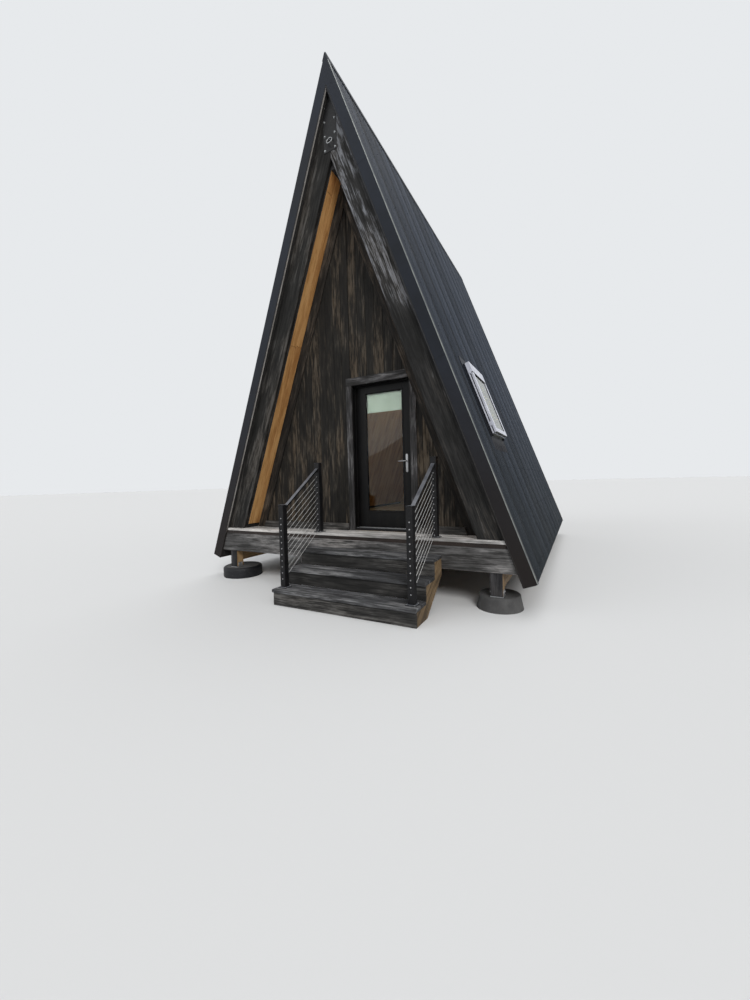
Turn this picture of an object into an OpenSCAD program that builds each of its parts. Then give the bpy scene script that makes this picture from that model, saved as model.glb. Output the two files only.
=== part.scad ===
/* [Building] */
// Height of the roof's outer ridge line above the ground
ridge_h = 7370; // [6100:10:8900]
// Slope of the roof, in degrees from level
pitch = 69.85; // [67:0.05:72]
// Length of the roof from front trim to back trim
roof_len = 6800; // [5600:10:8200]
// Height of the roof's lower tip above the ground
eave_h = 364; // [300:2:440]
// Height of the deck and floor above the ground
deck_h = 820; // [680:5:990]

/* [Roof build-up] */
// Depth of the corrugated roof sheet
sheet_t = 20; // [16:1:25]
// Thickness of the boarded and insulated deck over the rafters
pack_t = 140; // [115:5:170]
// Depth of the rafters
rafter_d = 305; // [250:5:360]
// Thickness of one rafter
rafter_t = 50; // [40:1:60]
// Thickness of the pine lining boards
lining_t = 20; // [15:1:24]
// How far the front trim stands ahead of the deck's front edge
trim_ahead = 25; // [20:1:30]
// Distance from the deck's front edge to the front rafters
rafter_y = 50; // [40:1:60]
// Thickness of the folded metal of the trims and the ridge cap
metal_t = 3; // [2:0.5:4]
// Width of each leg of the ridge cap
trim_leg = 120; // [90:5:150]
// Depth of the trims' inner hem
hem_d = 24; // [18:1:30]

/* [Walls] */
// Distance from the deck's front edge to the face of the siding
wall_y = 366; // [310:2:440]
// Thickness of the end walls
wall_t = 150; // [125:5:180]
// Width of the sloping boards where wall and roof meet
wall_trim_w = 152; // [126:2:182]
// Thickness of the sloping boards
wall_trim_t = 22; // [18:1:28]
// Height of the board along the foot of a wall
base_h = 100; // [80:5:130]
// Thickness of the board along the foot of a wall
base_t = 50; // [38:1:60]

/* [Door] */
// Middle of the door, measured from the cabin's middle
door_x = 502; // [420:2:600]
// Width of the door leaf
leaf_w = 893; // [740:1:935]
// Height of the door leaf
leaf_h = 2065; // [1900:5:2150]
// Thickness of the door leaf
leaf_t = 45; // [38:1:54]
// Gap between the leaf and its frame
leaf_gap = 5; // [5:0.5:8]
// Thickness of the jambs and the head of the frame
jamb_t = 36; // [30:1:45]
// Width of the leaf's stiles
stile_w = 154; // [130:2:185]
// Height of the leaf's top rail
top_rail_h = 110; // [90:5:135]
// Height of the leaf's bottom rail
bottom_rail_h = 235; // [195:5:280]
// Height of the door sill
sill_h = 40; // [30:2:50]
// Width of the casing boards round the door
casing_w = 92; // [76:2:110]
// Height of the casing board over the door
head_casing_h = 112; // [90:2:135]
// Thickness of the casing boards
casing_t = 22; // [18:1:28]
// Height of the handle's spindle above the floor
handle_h = 990; // [900:10:1100]

/* [Floor frame] */
// Thickness of the deck boards
board_t = 40; // [32:1:48]
// Number of deck boards between the rim board and the wall
board_count = 3; // [2:1:4]
// Gap between two deck boards
board_gap = 6; // [4:1:8]
// Thickness of the subfloor under the boards
subfloor_t = 45; // [36:1:54]
// Height of the rim boards and the joists
rim_h = 288; // [240:2:345]
// Thickness of the rim boards and the joists
rim_t = 45; // [36:1:54]
// Number of joists
joist_count = 10; // [8:1:12]
// Height of the side beams
beam_h = 184; // [150:2:220]
// Width of the side beams
beam_w = 90; // [75:1:110]
// Side of the square posts
post_w = 140; // [115:1:165]
// Distance of the posts from the cabin's middle
post_x = 2125; // [2060:5:2150]
// Radius of the bare round piers on the right
pier_r = 270; // [225:5:320]
// Radius of the sleeved round piers on the left
sleeved_r = 315; // [265:5:340]
// Height of the round piers
pier_h = 165; // [140:5:190]
// Thickness of the steel shoe under each post
shoe_t = 10; // [8:1:12]

/* [Stair] */
// Depth of one step from nosing to nosing
tread_run = 290; // [250:5:345]
// Width of the stair
stair_w = 1960; // [1650:10:2100]
// How far a tread stands ahead of its riser
nosing = 25; // [18:1:30]
// Thickness of the riser boards
riser_t = 22; // [18:1:26]
// Thickness of the stringers
stringer_t = 45; // [36:1:54]

/* [Rails] */
// Side of the square rail posts
rail_post = 76; // [62:1:90]
// Height of the rail posts
rail_h = 1065; // [900:5:1200]
// Distance of each rail post's middle from the end of the treads
rail_in = 95; // [80:1:110]
// Distance of the lower rail posts' middle behind the lowest nosing
rail_back = 145; // [120:5:170]
// Number of cables in one rail
cable_count = 11; // [8:1:12]
// Diameter of one cable
cable_d = 5; // [4:0.5:6]

/* [Roof windows] */
// Distance of the window's top from the ridge, down the slope
win_top = 4520; // [3800:10:4700]
// Length of the window down the slope
win_l = 1050; // [900:10:1200]
// Width of the window
win_w = 820; // [680:10:960]
// Distance from the deck's front edge to the window
win_y = 885; // [780:5:1060]
// How far the closed window stands out of the roof
win_up = 90; // [75:1:108]
// Thickness of the window's sash
sash_t = 40; // [34:1:48]
// Length of the metal apron below the window
apron_l = 230; // [190:5:280]

/* [Hidden] */
$fn = 48;
// Gap left between pieces that lie against each other
fit = 1;

charred = [0.27, 0.24, 0.21];
pine = [0.80, 0.58, 0.33];
grey_wood = [0.62, 0.60, 0.57];
roof_blue = [0.20, 0.24, 0.30];
steel_black = [0.08, 0.08, 0.09];
door_black = [0.07, 0.07, 0.08];
concrete = [0.60, 0.60, 0.58];
clear = [0.70, 0.80, 0.78, 0.4];

// Planes of the roof are named by their depth below its outer face
under_pack = sheet_t + pack_t;
under_rafter = under_pack + rafter_d;
under_lining = under_rafter + lining_t;
// Half the width, at height z, of the plane at that depth
function half_w(z, depth) = (ridge_h - z) / tan(pitch) - depth / sin(pitch);
// Height at which the two planes of that depth meet
function apex_z(depth) = ridge_h - depth / cos(pitch);
// Point on the square-cut foot of the slope, at that depth
function foot(depth) = [half_w(eave_h, 0) - depth * sin(pitch), eave_h - depth * cos(pitch)];

// Lengthwise places: y is 0 at the deck's front edge and grows towards the back
roof_y0 = -trim_ahead;
roof_y1 = roof_y0 + roof_len;
deck_len = roof_len - 2 * trim_ahead;
stair_front = -3 * tread_run;
pier_in = 200;
middle_y = (stair_front + max(roof_y1, deck_len - pier_in + max(pier_r, sleeved_r))) / 2;
body_y0 = rafter_y + rafter_t;
body_y1 = deck_len - body_y0;

// Heights of the floor frame
boards_z = deck_h - board_t;
subfloor_z = boards_z - subfloor_t;
rim_z = subfloor_z - rim_h;
board_w = wall_y / board_count - board_gap;
frame_fit = 4;

// Door frame
frame_w = leaf_w + 2 * leaf_gap + 2 * jamb_t;
frame_x0 = door_x - frame_w / 2;
frame_x1 = door_x + frame_w / 2;
leaf_x0 = door_x - leaf_w / 2;
leaf_x1 = door_x + leaf_w / 2;
leaf_z0 = deck_h + sill_h + leaf_gap;
leaf_z1 = leaf_z0 + leaf_h;
frame_top = leaf_z1 + leaf_gap + jamb_t;
leaf_y1 = wall_y + wall_t;
leaf_y0 = leaf_y1 - leaf_t;
casing_y = wall_y - casing_t;
reveal = 5;
glass_t = 20;
handle_x = leaf_x1 - 0.62 * stile_w;

riser_h = deck_h / 4;

// The model is drawn from the deck's front edge and set with its middle on the origin
module place() translate([0, -middle_y, 0]) children();
module both_sides() for (s = [0, 1]) mirror([s, 0, 0]) children();
module both_ends() {
  children();
  translate([0, deck_len, 0]) mirror([0, 1, 0]) children();
}
// Pushes a profile drawn in x and z from y0 to y1
module along_y(y0, y1) translate([0, y1, 0]) rotate([90, 0, 0]) linear_extrude(y1 - y0) children();
// Point on the plane of that depth at a distance x from the middle
function near(x, depth) = [x, apex_z(depth) - x * tan(pitch)];
// Half of a roof layer in profile, with a square-cut foot
module layer_square(d0, d1) polygon([foot(d0), foot(d1), near(fit / 2, d1), near(fit / 2, d0)]);
// Half of a roof layer in profile, standing level on height z
module layer_level(d0, d1, z) polygon([
  [half_w(z, d0), z], [half_w(z, d1), z], near(fit / 2, d1), near(fit / 2, d0)]);
// The whole space inside the planes of that depth, above height z
module inside(depth, z) polygon([
  [-half_w(z, depth), z], [half_w(z, depth), z], [0, apex_z(depth)]]);
// A slab between the roof's slopes, from z0 to z1
module between_slopes(depth, z0, z1) polygon([
  [-half_w(z0, depth), z0], [half_w(z0, depth), z0],
  [half_w(z1, depth), z1], [-half_w(z1, depth), z1]]);
// Right slope's own frame: x runs down the slope, z stands out of the roof
module on_slope() translate([0, 0, ridge_h]) rotate([0, pitch, 0]) children();
// Cuts a layer of the right slope into four plain panels round the window
module round_window(y0, y1) {
  intersection() {
    children();
    translate([0, y0, 0]) cube([ridge_h, win_y - fit - y0, ridge_h]);
  }
  intersection() {
    children();
    translate([0, win_y + win_w + fit, 0]) cube([ridge_h, y1 - win_y - win_w - fit, ridge_h]);
  }
  intersection() {
    children();
    on_slope() translate([-ridge_h, win_y, -ridge_h]) cube([win_top - fit + ridge_h, win_w, 2 * ridge_h]);
  }
  intersection() {
    children();
    on_slope() translate([win_top + win_l + fit, win_y, -ridge_h]) cube([ridge_h, win_w, 2 * ridge_h]);
  }
}

pier_rows = [pier_in, deck_len / 2, deck_len - pier_in];
post_rows = [10, (deck_len - post_w) / 2, deck_len - 10 - post_w];
post_z0 = pier_h + shoe_t;

module pier(r) {
  cylinder(r = r, h = pier_h - 12);
  translate([0, 0, pier_h - 12]) cylinder(r1 = r, r2 = r - 12, h = 12);
}
module piers() color(concrete) for (y = pier_rows) {
  translate([post_x, y, 0]) pier(pier_r);
  translate([-post_x, y, 0]) pier(sleeved_r);
}
module post_shoes() color(steel_black)
  both_sides() for (y = post_rows)
    translate([post_x - post_w / 2 - 5, y - 5, pier_h]) cube([post_w + 10, post_w + 10, shoe_t]);
module posts() color(charred)
  both_sides() for (y = post_rows)
    translate([post_x - post_w / 2, y, post_z0]) cube([post_w, post_w, rim_z - post_z0]);
module side_beams() color(pine)
  both_sides() for (i = [0, 1]) {
    y0 = post_rows[i] + post_w;
    translate([post_x + post_w / 2 - beam_w, y0, rim_z - beam_h])
      cube([beam_w, post_rows[i + 1] - y0, beam_h]);
  }
module floor_joists() color(pine) {
  span = deck_len - 2 * rim_t - rim_t;
  for (i = [1:joist_count])
    translate([rim_t - post_x - post_w / 2, rim_t + i * span / (joist_count + 1), rim_z])
      cube([2 * post_x + post_w - 2 * rim_t, rim_t, rim_h]);
}
module rim_boards() color(charred)
  both_ends() along_y(0, rim_t) between_slopes(under_pack + frame_fit, rim_z, subfloor_z);
module side_rims() color(charred)
  both_sides() translate([post_x + post_w / 2 - rim_t, rim_t, rim_z])
    cube([rim_t, deck_len - 2 * rim_t, rim_h]);
module floor() color(pine) {
  along_y(8, deck_len - 8) between_slopes(under_pack + frame_fit, subfloor_z, boards_z);
  along_y(wall_y, deck_len - wall_y) between_slopes(under_pack + frame_fit, boards_z + fit, deck_h);
}
module porch_decks() color(grey_wood)
  both_ends() for (i = [0:board_count - 1])
    along_y(i * (board_w + board_gap), i * (board_w + board_gap) + board_w)
      between_slopes(under_pack + frame_fit, boards_z, deck_h);

// Sawtooth side of one stringer, drawn in y and z from the ground to the rim board
function step_y(k) = -(4 - k) * tread_run;
module stringer_profile() polygon([
  [step_y(1) + nosing + riser_t, 0],
  [step_y(1) + nosing + riser_t, riser_h - board_t],
  [step_y(2) + nosing + riser_t, riser_h - board_t],
  [step_y(2) + nosing + riser_t, 2 * riser_h - board_t],
  [step_y(3) + nosing + riser_t, 2 * riser_h - board_t],
  [step_y(3) + nosing + riser_t, 3 * riser_h - board_t],
  [0, 3 * riser_h - board_t],
  [0, 3 * riser_h - board_t - 200],
  [step_y(2) + 60, 0]]);
stringer_in = 5;
stringer_x = [door_x - stair_w / 2 + stringer_in, door_x - stringer_t / 2,
  door_x + stair_w / 2 - stringer_in - stringer_t];
module stair_stringers() color(pine)
  for (x = stringer_x) translate([x, 0, 0])
    rotate([90, 0, 90]) linear_extrude(stringer_t) stringer_profile();
module stair_treads() color(grey_wood)
  for (k = [1:3]) {
    back = k == 3 ? 0 : step_y(k + 1) + nosing;
    translate([door_x - stair_w / 2, step_y(k), k * riser_h - board_t])
      cube([stair_w, back - step_y(k), board_t]);
  }
module stair_risers() color(charred)
  for (k = [1:3]) {
    low = k == 1 ? 0 : (k - 1) * riser_h;
    translate([door_x - stair_w / 2 + stringer_in, step_y(k) + nosing, low])
      cube([stair_w - 2 * stringer_in, riser_t, k * riser_h - board_t - low]);
  }

// Rails: two posts each, on the lowest tread and on the deck
plate_w = 1.6 * rail_post;
plate_h = 10;
cap_h = 8;
low_y = step_y(1) + rail_back;
high_y = plate_w / 2;
rail_xs = [door_x - stair_w / 2 + rail_in, door_x + stair_w / 2 - rail_in];
rail_slope = atan(riser_h / tread_run);
span = high_y - low_y;
high_rail_h = rail_h + span * tan(rail_slope) - 3 * riser_h;
bar_w = 50;
bar_t = 30;
// Height of the top bar's middle where it meets a post, over the post's foot
bar_z = rail_h - cap_h - 60;
module rail_post_at(y, z, h) translate([0, y, z]) {
  translate([-plate_w / 2, -plate_w / 2, 0]) cube([plate_w, plate_w, plate_h]);
  translate([-rail_post / 2, -rail_post / 2, plate_h])
    cube([rail_post, rail_post, h - plate_h - cap_h]);
  translate([-rail_post / 2 - 4, -rail_post / 2 - 4, h - cap_h])
    cube([rail_post + 8, rail_post + 8, cap_h]);
}
module rail_posts() color(steel_black)
  for (x = rail_xs) translate([x, 0, 0]) {
    rail_post_at(low_y, riser_h, rail_h);
    rail_post_at(high_y, deck_h, high_rail_h);
  }
// A bar from post to post along the stair's slope, its middle at height z over the lower foot
module sloping_bar(z, w, t) translate([-w / 2, low_y, riser_h + z])
  rotate([90, 0, 90]) linear_extrude(w) polygon([
    [rail_post / 2, rail_post / 2 * tan(rail_slope) - t / 2],
    [span - rail_post / 2, (span - rail_post / 2) * tan(rail_slope) - t / 2],
    [span - rail_post / 2, (span - rail_post / 2) * tan(rail_slope) + t / 2],
    [rail_post / 2, rail_post / 2 * tan(rail_slope) + t / 2]]);
module rail_bars() color(steel_black)
  for (x = rail_xs) translate([x, 0, 0]) sloping_bar(bar_z, bar_w, bar_t);
// Height of the lowest cable over the line of the nosings
cable_over = 12.5;
cable_low = rail_back * tan(rail_slope) + cable_over;
cable_high = rail_h - 175;
module rail_cables() color("silver")
  for (x = rail_xs, i = [0:cable_count - 1]) translate([x, 0, 0])
    sloping_bar(cable_low + i * (cable_high - cable_low) / (cable_count - 1), cable_d, cable_d);

module rafters(y) color(charred) both_sides()
  along_y(y, y + rafter_t) layer_level(under_pack + fit, under_rafter, deck_h);
module front_rafters() rafters(rafter_y);
module back_rafters() rafters(deck_len - rafter_y - rafter_t);
gusset_w = 215;
gusset_t = 6;
gusset_low = apex_z(under_rafter) + 80;
module gusset_plates() color(steel_black)
  both_ends() along_y(rafter_y - gusset_t, rafter_y) intersection() {
    translate([-gusset_w / 2, gusset_low]) square([gusset_w, apex_z(under_pack) - gusset_low]);
    inside(under_pack + 10, gusset_low);
  }

// Dark block that closes the apex between the rafters and the wall
block_h = 130;
module apex_blocks() color(charred) both_ends()
  along_y(body_y0, wall_y - wall_trim_t - fit) difference() {
    inside(under_rafter + fit, deck_h);
    translate([-ridge_h, 0]) square([2 * ridge_h, apex_z(under_rafter) - block_h]);
  }

module roof_half() color(charred) {
  round_window(roof_y0, roof_y1) along_y(roof_y0 + metal_t, roof_y1 - metal_t)
    layer_square(sheet_t + fit, under_pack);
  round_window(body_y0, body_y1) along_y(body_y0, body_y1)
    layer_level(under_pack + fit, under_rafter, deck_h);
}
module roof_right() roof_half();
module roof_left() mirror([1, 0, 0]) roof_half();
lining_top = apex_z(under_rafter) - block_h - fit;
lining_foot = 65;
module linings() color(pine) both_sides() round_window(body_y0, body_y1)
  along_y(body_y0, body_y1) intersection() {
    layer_level(under_rafter + fit, under_lining, deck_h);
    translate([0, deck_h + lining_foot]) square([ridge_h, lining_top - deck_h - lining_foot]);
  }
module roof_sheets() color(roof_blue) both_sides() round_window(roof_y0, roof_y1)
  along_y(roof_y0 + metal_t, roof_y1 - metal_t) layer_square(0, sheet_t);
// Folded cap over the ridge, drawn as the lower edges of its two legs
cap_lift = metal_t + fit;
function leg_end(depth) = [trim_leg * cos(pitch) - depth * sin(pitch),
  ridge_h - trim_leg * sin(pitch) - depth * cos(pitch)];
function flip(p) = [-p[0], p[1]];
module ridge_cap() color(roof_blue) along_y(roof_y0, roof_y1) polygon([
  [0, apex_z(-cap_lift)], leg_end(-cap_lift), leg_end(-fit),
  [0, apex_z(-fit)], flip(leg_end(-fit)), flip(leg_end(-cap_lift))]);
// One millimetre down the right slope, in x and z
down = [cos(pitch), -sin(pitch)];
// Folded trim on the end of the roof: a face and an inner hem
module rake_trims() color(roof_blue) both_ends() both_sides() difference() {
  along_y(roof_y0, roof_y0 + hem_d) layer_square(0, under_pack + fit + metal_t);
  along_y(roof_y0 + metal_t - fit / 2, roof_y0 + 2 * hem_d) polygon([
    foot(-hem_d) + hem_d * down, foot(under_pack + fit) + hem_d * down,
    near(-hem_d, under_pack + fit), near(-hem_d, -hem_d)]);
}
module eave_trims() color(roof_blue) both_sides()
  along_y(roof_y0 + metal_t, roof_y1 - metal_t) polygon([
    foot(0) + fit * down, foot(under_pack) + fit * down,
    foot(under_pack) + (fit + metal_t) * down, foot(0) + (fit + metal_t) * down]);

module wall_profile(x0, x1, z0) intersection() {
  inside(under_lining + fit, z0);
  translate([x0, z0]) square([x1 - x0, ridge_h]);
}
module front_wall_left() color(charred)
  along_y(wall_y, wall_y + wall_t) wall_profile(-ridge_h, frame_x0, deck_h);
module front_wall_right() color(charred)
  along_y(wall_y, wall_y + wall_t) wall_profile(frame_x1, ridge_h, deck_h);
module front_wall_over() color(charred)
  along_y(wall_y, wall_y + wall_t) wall_profile(frame_x0 + fit, frame_x1 - fit, frame_top);
module back_wall() color(charred)
  along_y(deck_len - wall_y - wall_t, deck_len - wall_y) inside(under_lining + fit, deck_h);
trim_depth = under_lining + wall_trim_w;
module wall_trims() color(charred)
  both_ends() both_sides() along_y(wall_y - wall_trim_t, wall_y)
    layer_level(under_lining + fit, trim_depth, deck_h);
module base_boards() color(charred) {
  along_y(wall_y - base_t, wall_y) difference() {
    between_slopes(trim_depth + fit, deck_h, deck_h + base_h);
    translate([casing_x0 - casing_w - fit, 0]) square([casing_x1 - casing_x0 + 2 * casing_w + 2 * fit, ridge_h]);
  }
  along_y(deck_len - wall_y, deck_len - wall_y + base_t)
    between_slopes(trim_depth + fit, deck_h, deck_h + base_h);
}

casing_x0 = frame_x0 + jamb_t - reveal;
casing_x1 = frame_x1 - jamb_t + reveal;
casing_z = frame_top - jamb_t + reveal;
module door_casing() color(charred) along_y(casing_y, wall_y) intersection() {
  union() {
    translate([casing_x0 - casing_w, deck_h]) square([casing_w, casing_z - fit - deck_h]);
    translate([casing_x1, deck_h]) square([casing_w, casing_z - fit - deck_h]);
    translate([casing_x0 - casing_w, casing_z])
      square([casing_x1 - casing_x0 + 2 * casing_w, head_casing_h]);
  }
  inside(trim_depth + fit, deck_h);
}
module door_frame() color(door_black) {
  for (x = [frame_x0, frame_x1 - jamb_t])
    translate([x, wall_y, deck_h]) cube([jamb_t, wall_t, frame_top - jamb_t - fit - deck_h]);
  translate([frame_x0, wall_y, frame_top - jamb_t]) cube([frame_w, wall_t, jamb_t]);
}
module door_sill() color("silver")
  translate([frame_x0 + jamb_t + fit, wall_y, deck_h]) cube([frame_w - 2 * jamb_t - 2 * fit, wall_t, sill_h]);

module leaf_hole(grow) translate([leaf_x0 + stile_w - grow, leaf_y0 - 1, leaf_z0 + bottom_rail_h - grow])
  cube([leaf_w - 2 * stile_w + 2 * grow, leaf_t + 2, leaf_h - bottom_rail_h - top_rail_h + 2 * grow]);
module door_leaf() color(door_black) difference() {
  translate([leaf_x0, leaf_y0, leaf_z0]) cube([leaf_w, leaf_t, leaf_h]);
  leaf_hole(0);
  translate([handle_x, leaf_y0 - 1, deck_h + handle_h]) rotate([-90, 0, 0])
    cylinder(d = 18, h = leaf_t + 2);
}
module door_glass() color(clear)
  translate([leaf_x0 + stile_w, leaf_y0 + (leaf_t - glass_t) / 2, leaf_z0 + bottom_rail_h])
    cube([leaf_w - 2 * stile_w, glass_t, leaf_h - bottom_rail_h - top_rail_h]);
blind_drop = 280;
module door_blind() color("ivory")
  translate([leaf_x0 + stile_w + 4, leaf_y0 + (leaf_t + glass_t) / 2 + 2, leaf_z1 - top_rail_h - blind_drop])
    cube([leaf_w - 2 * stile_w - 8, 8, blind_drop]);

plate_low = deck_h + 833;
plate_len = 257;
plate_wide = 34;
plate_thick = 8;
spindle_d = 12;
module handle_plates() color("silver")
  for (y = [leaf_y0 - plate_thick, leaf_y1]) difference() {
    translate([handle_x - plate_wide / 2, y, plate_low]) cube([plate_wide, plate_thick, plate_len]);
    translate([handle_x, y - 1, deck_h + handle_h]) rotate([-90, 0, 0])
      cylinder(d = 18, h = plate_thick + 2);
  }
lever_out = 50;
lever_len = 112;
module door_lever() color("silver") translate([handle_x, 0, deck_h + handle_h]) {
  translate([0, leaf_y0 - plate_thick - lever_out, 0]) rotate([-90, 0, 0])
    cylinder(d = spindle_d, h = leaf_t + 2 * plate_thick + 2 * lever_out);
  for (y = [leaf_y0 - plate_thick - lever_out, leaf_y1 + plate_thick + lever_out])
    translate([0, y, 0]) rotate([0, -90, 0]) {
      cylinder(d = 18, h = lever_len);
      sphere(d = 18);
      translate([0, 0, lever_len]) sphere(d = 18);
    }
}
hinge_r = 7;
hinge_x = leaf_x0 - leaf_gap / 2;
hinge_y = leaf_y1 + hinge_r;
hinge_len = 100;
hinge_zs = [leaf_z0 + 200, leaf_z0 + leaf_h / 2 - hinge_len / 2, leaf_z1 - 200 - hinge_len];
module door_hinges() color("silver")
  for (z = hinge_zs) translate([hinge_x, hinge_y, z]) {
    cylinder(r = hinge_r, h = hinge_len);
    translate([-28, -hinge_r, 0]) cube([28, 2.5, hinge_len]);
  }

frame_wall = 45;
sash_gap = 2;
frame_up = win_up - sash_t - sash_gap;
module window_frames() color(pine) both_sides() on_slope() {
  for (y = [win_y, win_y + win_w - frame_wall])
    translate([win_top, y, -under_lining]) cube([win_l, frame_wall, under_lining + frame_up]);
  for (t = [win_top, win_top + win_l - frame_wall])
    translate([t, win_y + frame_wall + fit, -under_lining])
      cube([frame_wall, win_w - 2 * frame_wall - 2 * fit, under_lining + frame_up]);
}
sash_bar = 70;
module window_sashes() color("gainsboro") both_sides() on_slope()
  translate([win_top, win_y, frame_up + sash_gap]) {
    for (y = [0, win_w - sash_bar]) translate([0, y, 0]) cube([win_l, sash_bar, sash_t]);
    for (t = [0, win_l - sash_bar]) translate([t, sash_bar + fit, 0])
      cube([sash_bar, win_w - 2 * sash_bar - 2 * fit, sash_t]);
  }
module window_glass() color(clear) both_sides() on_slope()
  translate([win_top + sash_bar + fit, win_y + sash_bar + fit, frame_up + sash_gap + sash_t - glass_t - 8])
    cube([win_l - 2 * sash_bar - 2 * fit, win_w - 2 * sash_bar - 2 * fit, glass_t]);
module window_aprons() color(roof_blue) both_sides() on_slope()
  translate([win_top + win_l + fit, win_y - 20, fit]) cube([apron_l, win_w + 40, metal_t]);

place() piers();
place() post_shoes();
place() posts();
place() side_beams();
place() floor_joists();
place() rim_boards();
place() side_rims();
place() floor();
place() porch_decks();
place() stair_stringers();
place() stair_treads();
place() stair_risers();
place() rail_posts();
place() rail_bars();
place() rail_cables();
place() front_rafters();
place() back_rafters();
place() gusset_plates();
place() apex_blocks();
place() roof_left();
place() roof_right();
place() linings();
place() roof_sheets();
place() ridge_cap();
place() rake_trims();
place() eave_trims();
place() front_wall_left();
place() front_wall_right();
place() front_wall_over();
place() back_wall();
place() wall_trims();
place() base_boards();
place() door_casing();
place() door_frame();
place() door_sill();
place() door_leaf();
place() door_glass();
place() door_blind();
place() handle_plates();
place() door_lever();
place() door_hinges();
place() window_frames();
place() window_sashes();
place() window_glass();
place() window_aprons();
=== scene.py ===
import math
import random

import bmesh
import bpy
from mathutils import Matrix, Vector


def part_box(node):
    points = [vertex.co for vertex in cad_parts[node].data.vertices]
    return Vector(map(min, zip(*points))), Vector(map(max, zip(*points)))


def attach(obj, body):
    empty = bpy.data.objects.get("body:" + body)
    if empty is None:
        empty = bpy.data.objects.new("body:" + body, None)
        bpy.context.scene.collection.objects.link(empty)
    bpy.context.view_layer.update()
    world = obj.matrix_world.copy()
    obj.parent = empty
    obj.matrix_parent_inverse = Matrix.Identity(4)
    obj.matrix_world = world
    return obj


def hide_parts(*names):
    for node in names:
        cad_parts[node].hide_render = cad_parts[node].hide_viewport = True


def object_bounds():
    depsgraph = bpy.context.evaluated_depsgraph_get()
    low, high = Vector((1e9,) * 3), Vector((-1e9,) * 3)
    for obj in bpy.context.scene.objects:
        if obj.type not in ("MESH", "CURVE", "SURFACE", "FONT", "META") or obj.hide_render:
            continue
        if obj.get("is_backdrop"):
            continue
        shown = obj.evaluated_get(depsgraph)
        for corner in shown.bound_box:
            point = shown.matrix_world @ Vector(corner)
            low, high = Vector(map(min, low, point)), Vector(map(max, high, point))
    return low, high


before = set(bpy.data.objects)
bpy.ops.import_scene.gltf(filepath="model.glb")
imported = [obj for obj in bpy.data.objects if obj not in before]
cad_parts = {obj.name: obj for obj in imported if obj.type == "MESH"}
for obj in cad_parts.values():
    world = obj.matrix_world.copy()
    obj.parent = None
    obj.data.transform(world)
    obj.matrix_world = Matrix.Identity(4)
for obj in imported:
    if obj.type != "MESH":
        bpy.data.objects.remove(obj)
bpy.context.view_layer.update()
bpy.context.scene.view_settings.view_transform = "Standard"


# Camera: it stands ahead of the stair and to the right of it, at the height
# of a person's face, and looks a little down.
def put(name, data):
    """A new object in the scene."""
    thing = bpy.data.objects.new(name, data)
    bpy.context.scene.collection.objects.link(thing)
    return thing


HEADING, TILT, ROLL = -0.4916, 0.0264, -0.0265
deck_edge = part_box("rim_boards")[0].y
ahead = Vector((math.sin(HEADING) * math.cos(TILT), math.cos(HEADING) * math.cos(TILT), -math.sin(TILT)))
level = Vector((math.cos(HEADING), -math.sin(HEADING), 0.0))
upright = level.cross(ahead)
camera_x = level * math.cos(ROLL) + upright * math.sin(ROLL)
camera_y = upright * math.cos(ROLL) - level * math.sin(ROLL)
camera_turn = Matrix((camera_x, camera_y, -ahead)).transposed().to_4x4()
camera_data = bpy.data.cameras.new("camera")
camera_data.sensor_fit = "HORIZONTAL"
camera_data.sensor_width = 36.0
camera_data.lens = 18.508
camera_data.shift_x = 0.0008
camera_data.shift_y = -0.0126
camera = put("camera", camera_data)
camera.matrix_world = Matrix.Translation((2.992, deck_edge - 4.519, 1.550)) @ camera_turn
bpy.context.scene.camera = camera


# Studio: a plain pale floor and three wide distant lamps under an even white
# dome, strong enough that a colour renders about as it is written, and a small
# lamp indoors, where daylight would come down from the roof windows.
def feed(tree, socket, value):
    """Joins a socket to another one or gives it a value; three numbers are a colour."""
    if isinstance(value, bpy.types.NodeSocket):
        tree.links.new(value, socket)
    elif socket.type == "RGBA":
        socket.default_value = (*value, 1.0)
    else:
        socket.default_value = value


def wire(tree, kind, inputs=None, **settings):
    """Adds a shader node, sets it, and joins or fills its inputs."""
    node = tree.nodes.new("ShaderNode" + kind)
    for name, value in settings.items():
        setattr(node, name, value)
    for name, value in (inputs or {}).items():
        feed(tree, node.inputs[name], value)
    return node


def calc(tree, operation, first, second=0.0, third=0.0):
    return wire(tree, "Math", {0: first, 1: second, 2: third}, operation=operation).outputs[0]


def times(tree, first, second):
    return calc(tree, "MULTIPLY", first, second)


def new_material(name, tint):
    """A material with an empty tree, one Principled shader and its output."""
    material = bpy.data.materials.new(name)
    material.use_nodes = True
    material.diffuse_color = (*tint, 1.0)
    tree = material.node_tree
    tree.nodes.clear()
    shader = wire(tree, "BsdfPrincipled")
    output = wire(tree, "OutputMaterial")
    tree.links.new(shader.outputs[0], output.inputs["Surface"])
    return material, tree, shader


def dress(tree, shader, inputs):
    """Joins or fills several inputs of a shader by their names."""
    for name, value in inputs.items():
        feed(tree, shader.inputs[name], value)


DOME_STRENGTH = 0.42
BACKDROP = (0.80, 0.82, 0.84)
world = bpy.data.worlds.new("dome")
world.use_nodes = True
bpy.context.scene.world = world
dome = world.node_tree
dome.nodes.clear()
ray = wire(dome, "LightPath").outputs
seen = calc(dome, "MAXIMUM", ray["Is Camera Ray"], ray["Is Glossy Ray"])
seen = calc(dome, "MAXIMUM", seen, ray["Is Transmission Ray"])
dome_light = wire(dome, "Background", {"Color": (1.0, 1.0, 1.0), "Strength": DOME_STRENGTH}).outputs[0]
dome_seen = wire(dome, "Background", {"Color": BACKDROP, "Strength": 1.0}).outputs[0]
dome_mix = wire(dome, "MixShader", {0: seen, 1: dome_light, 2: dome_seen}).outputs[0]
wire(dome, "OutputWorld", {"Surface": dome_mix})

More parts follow.
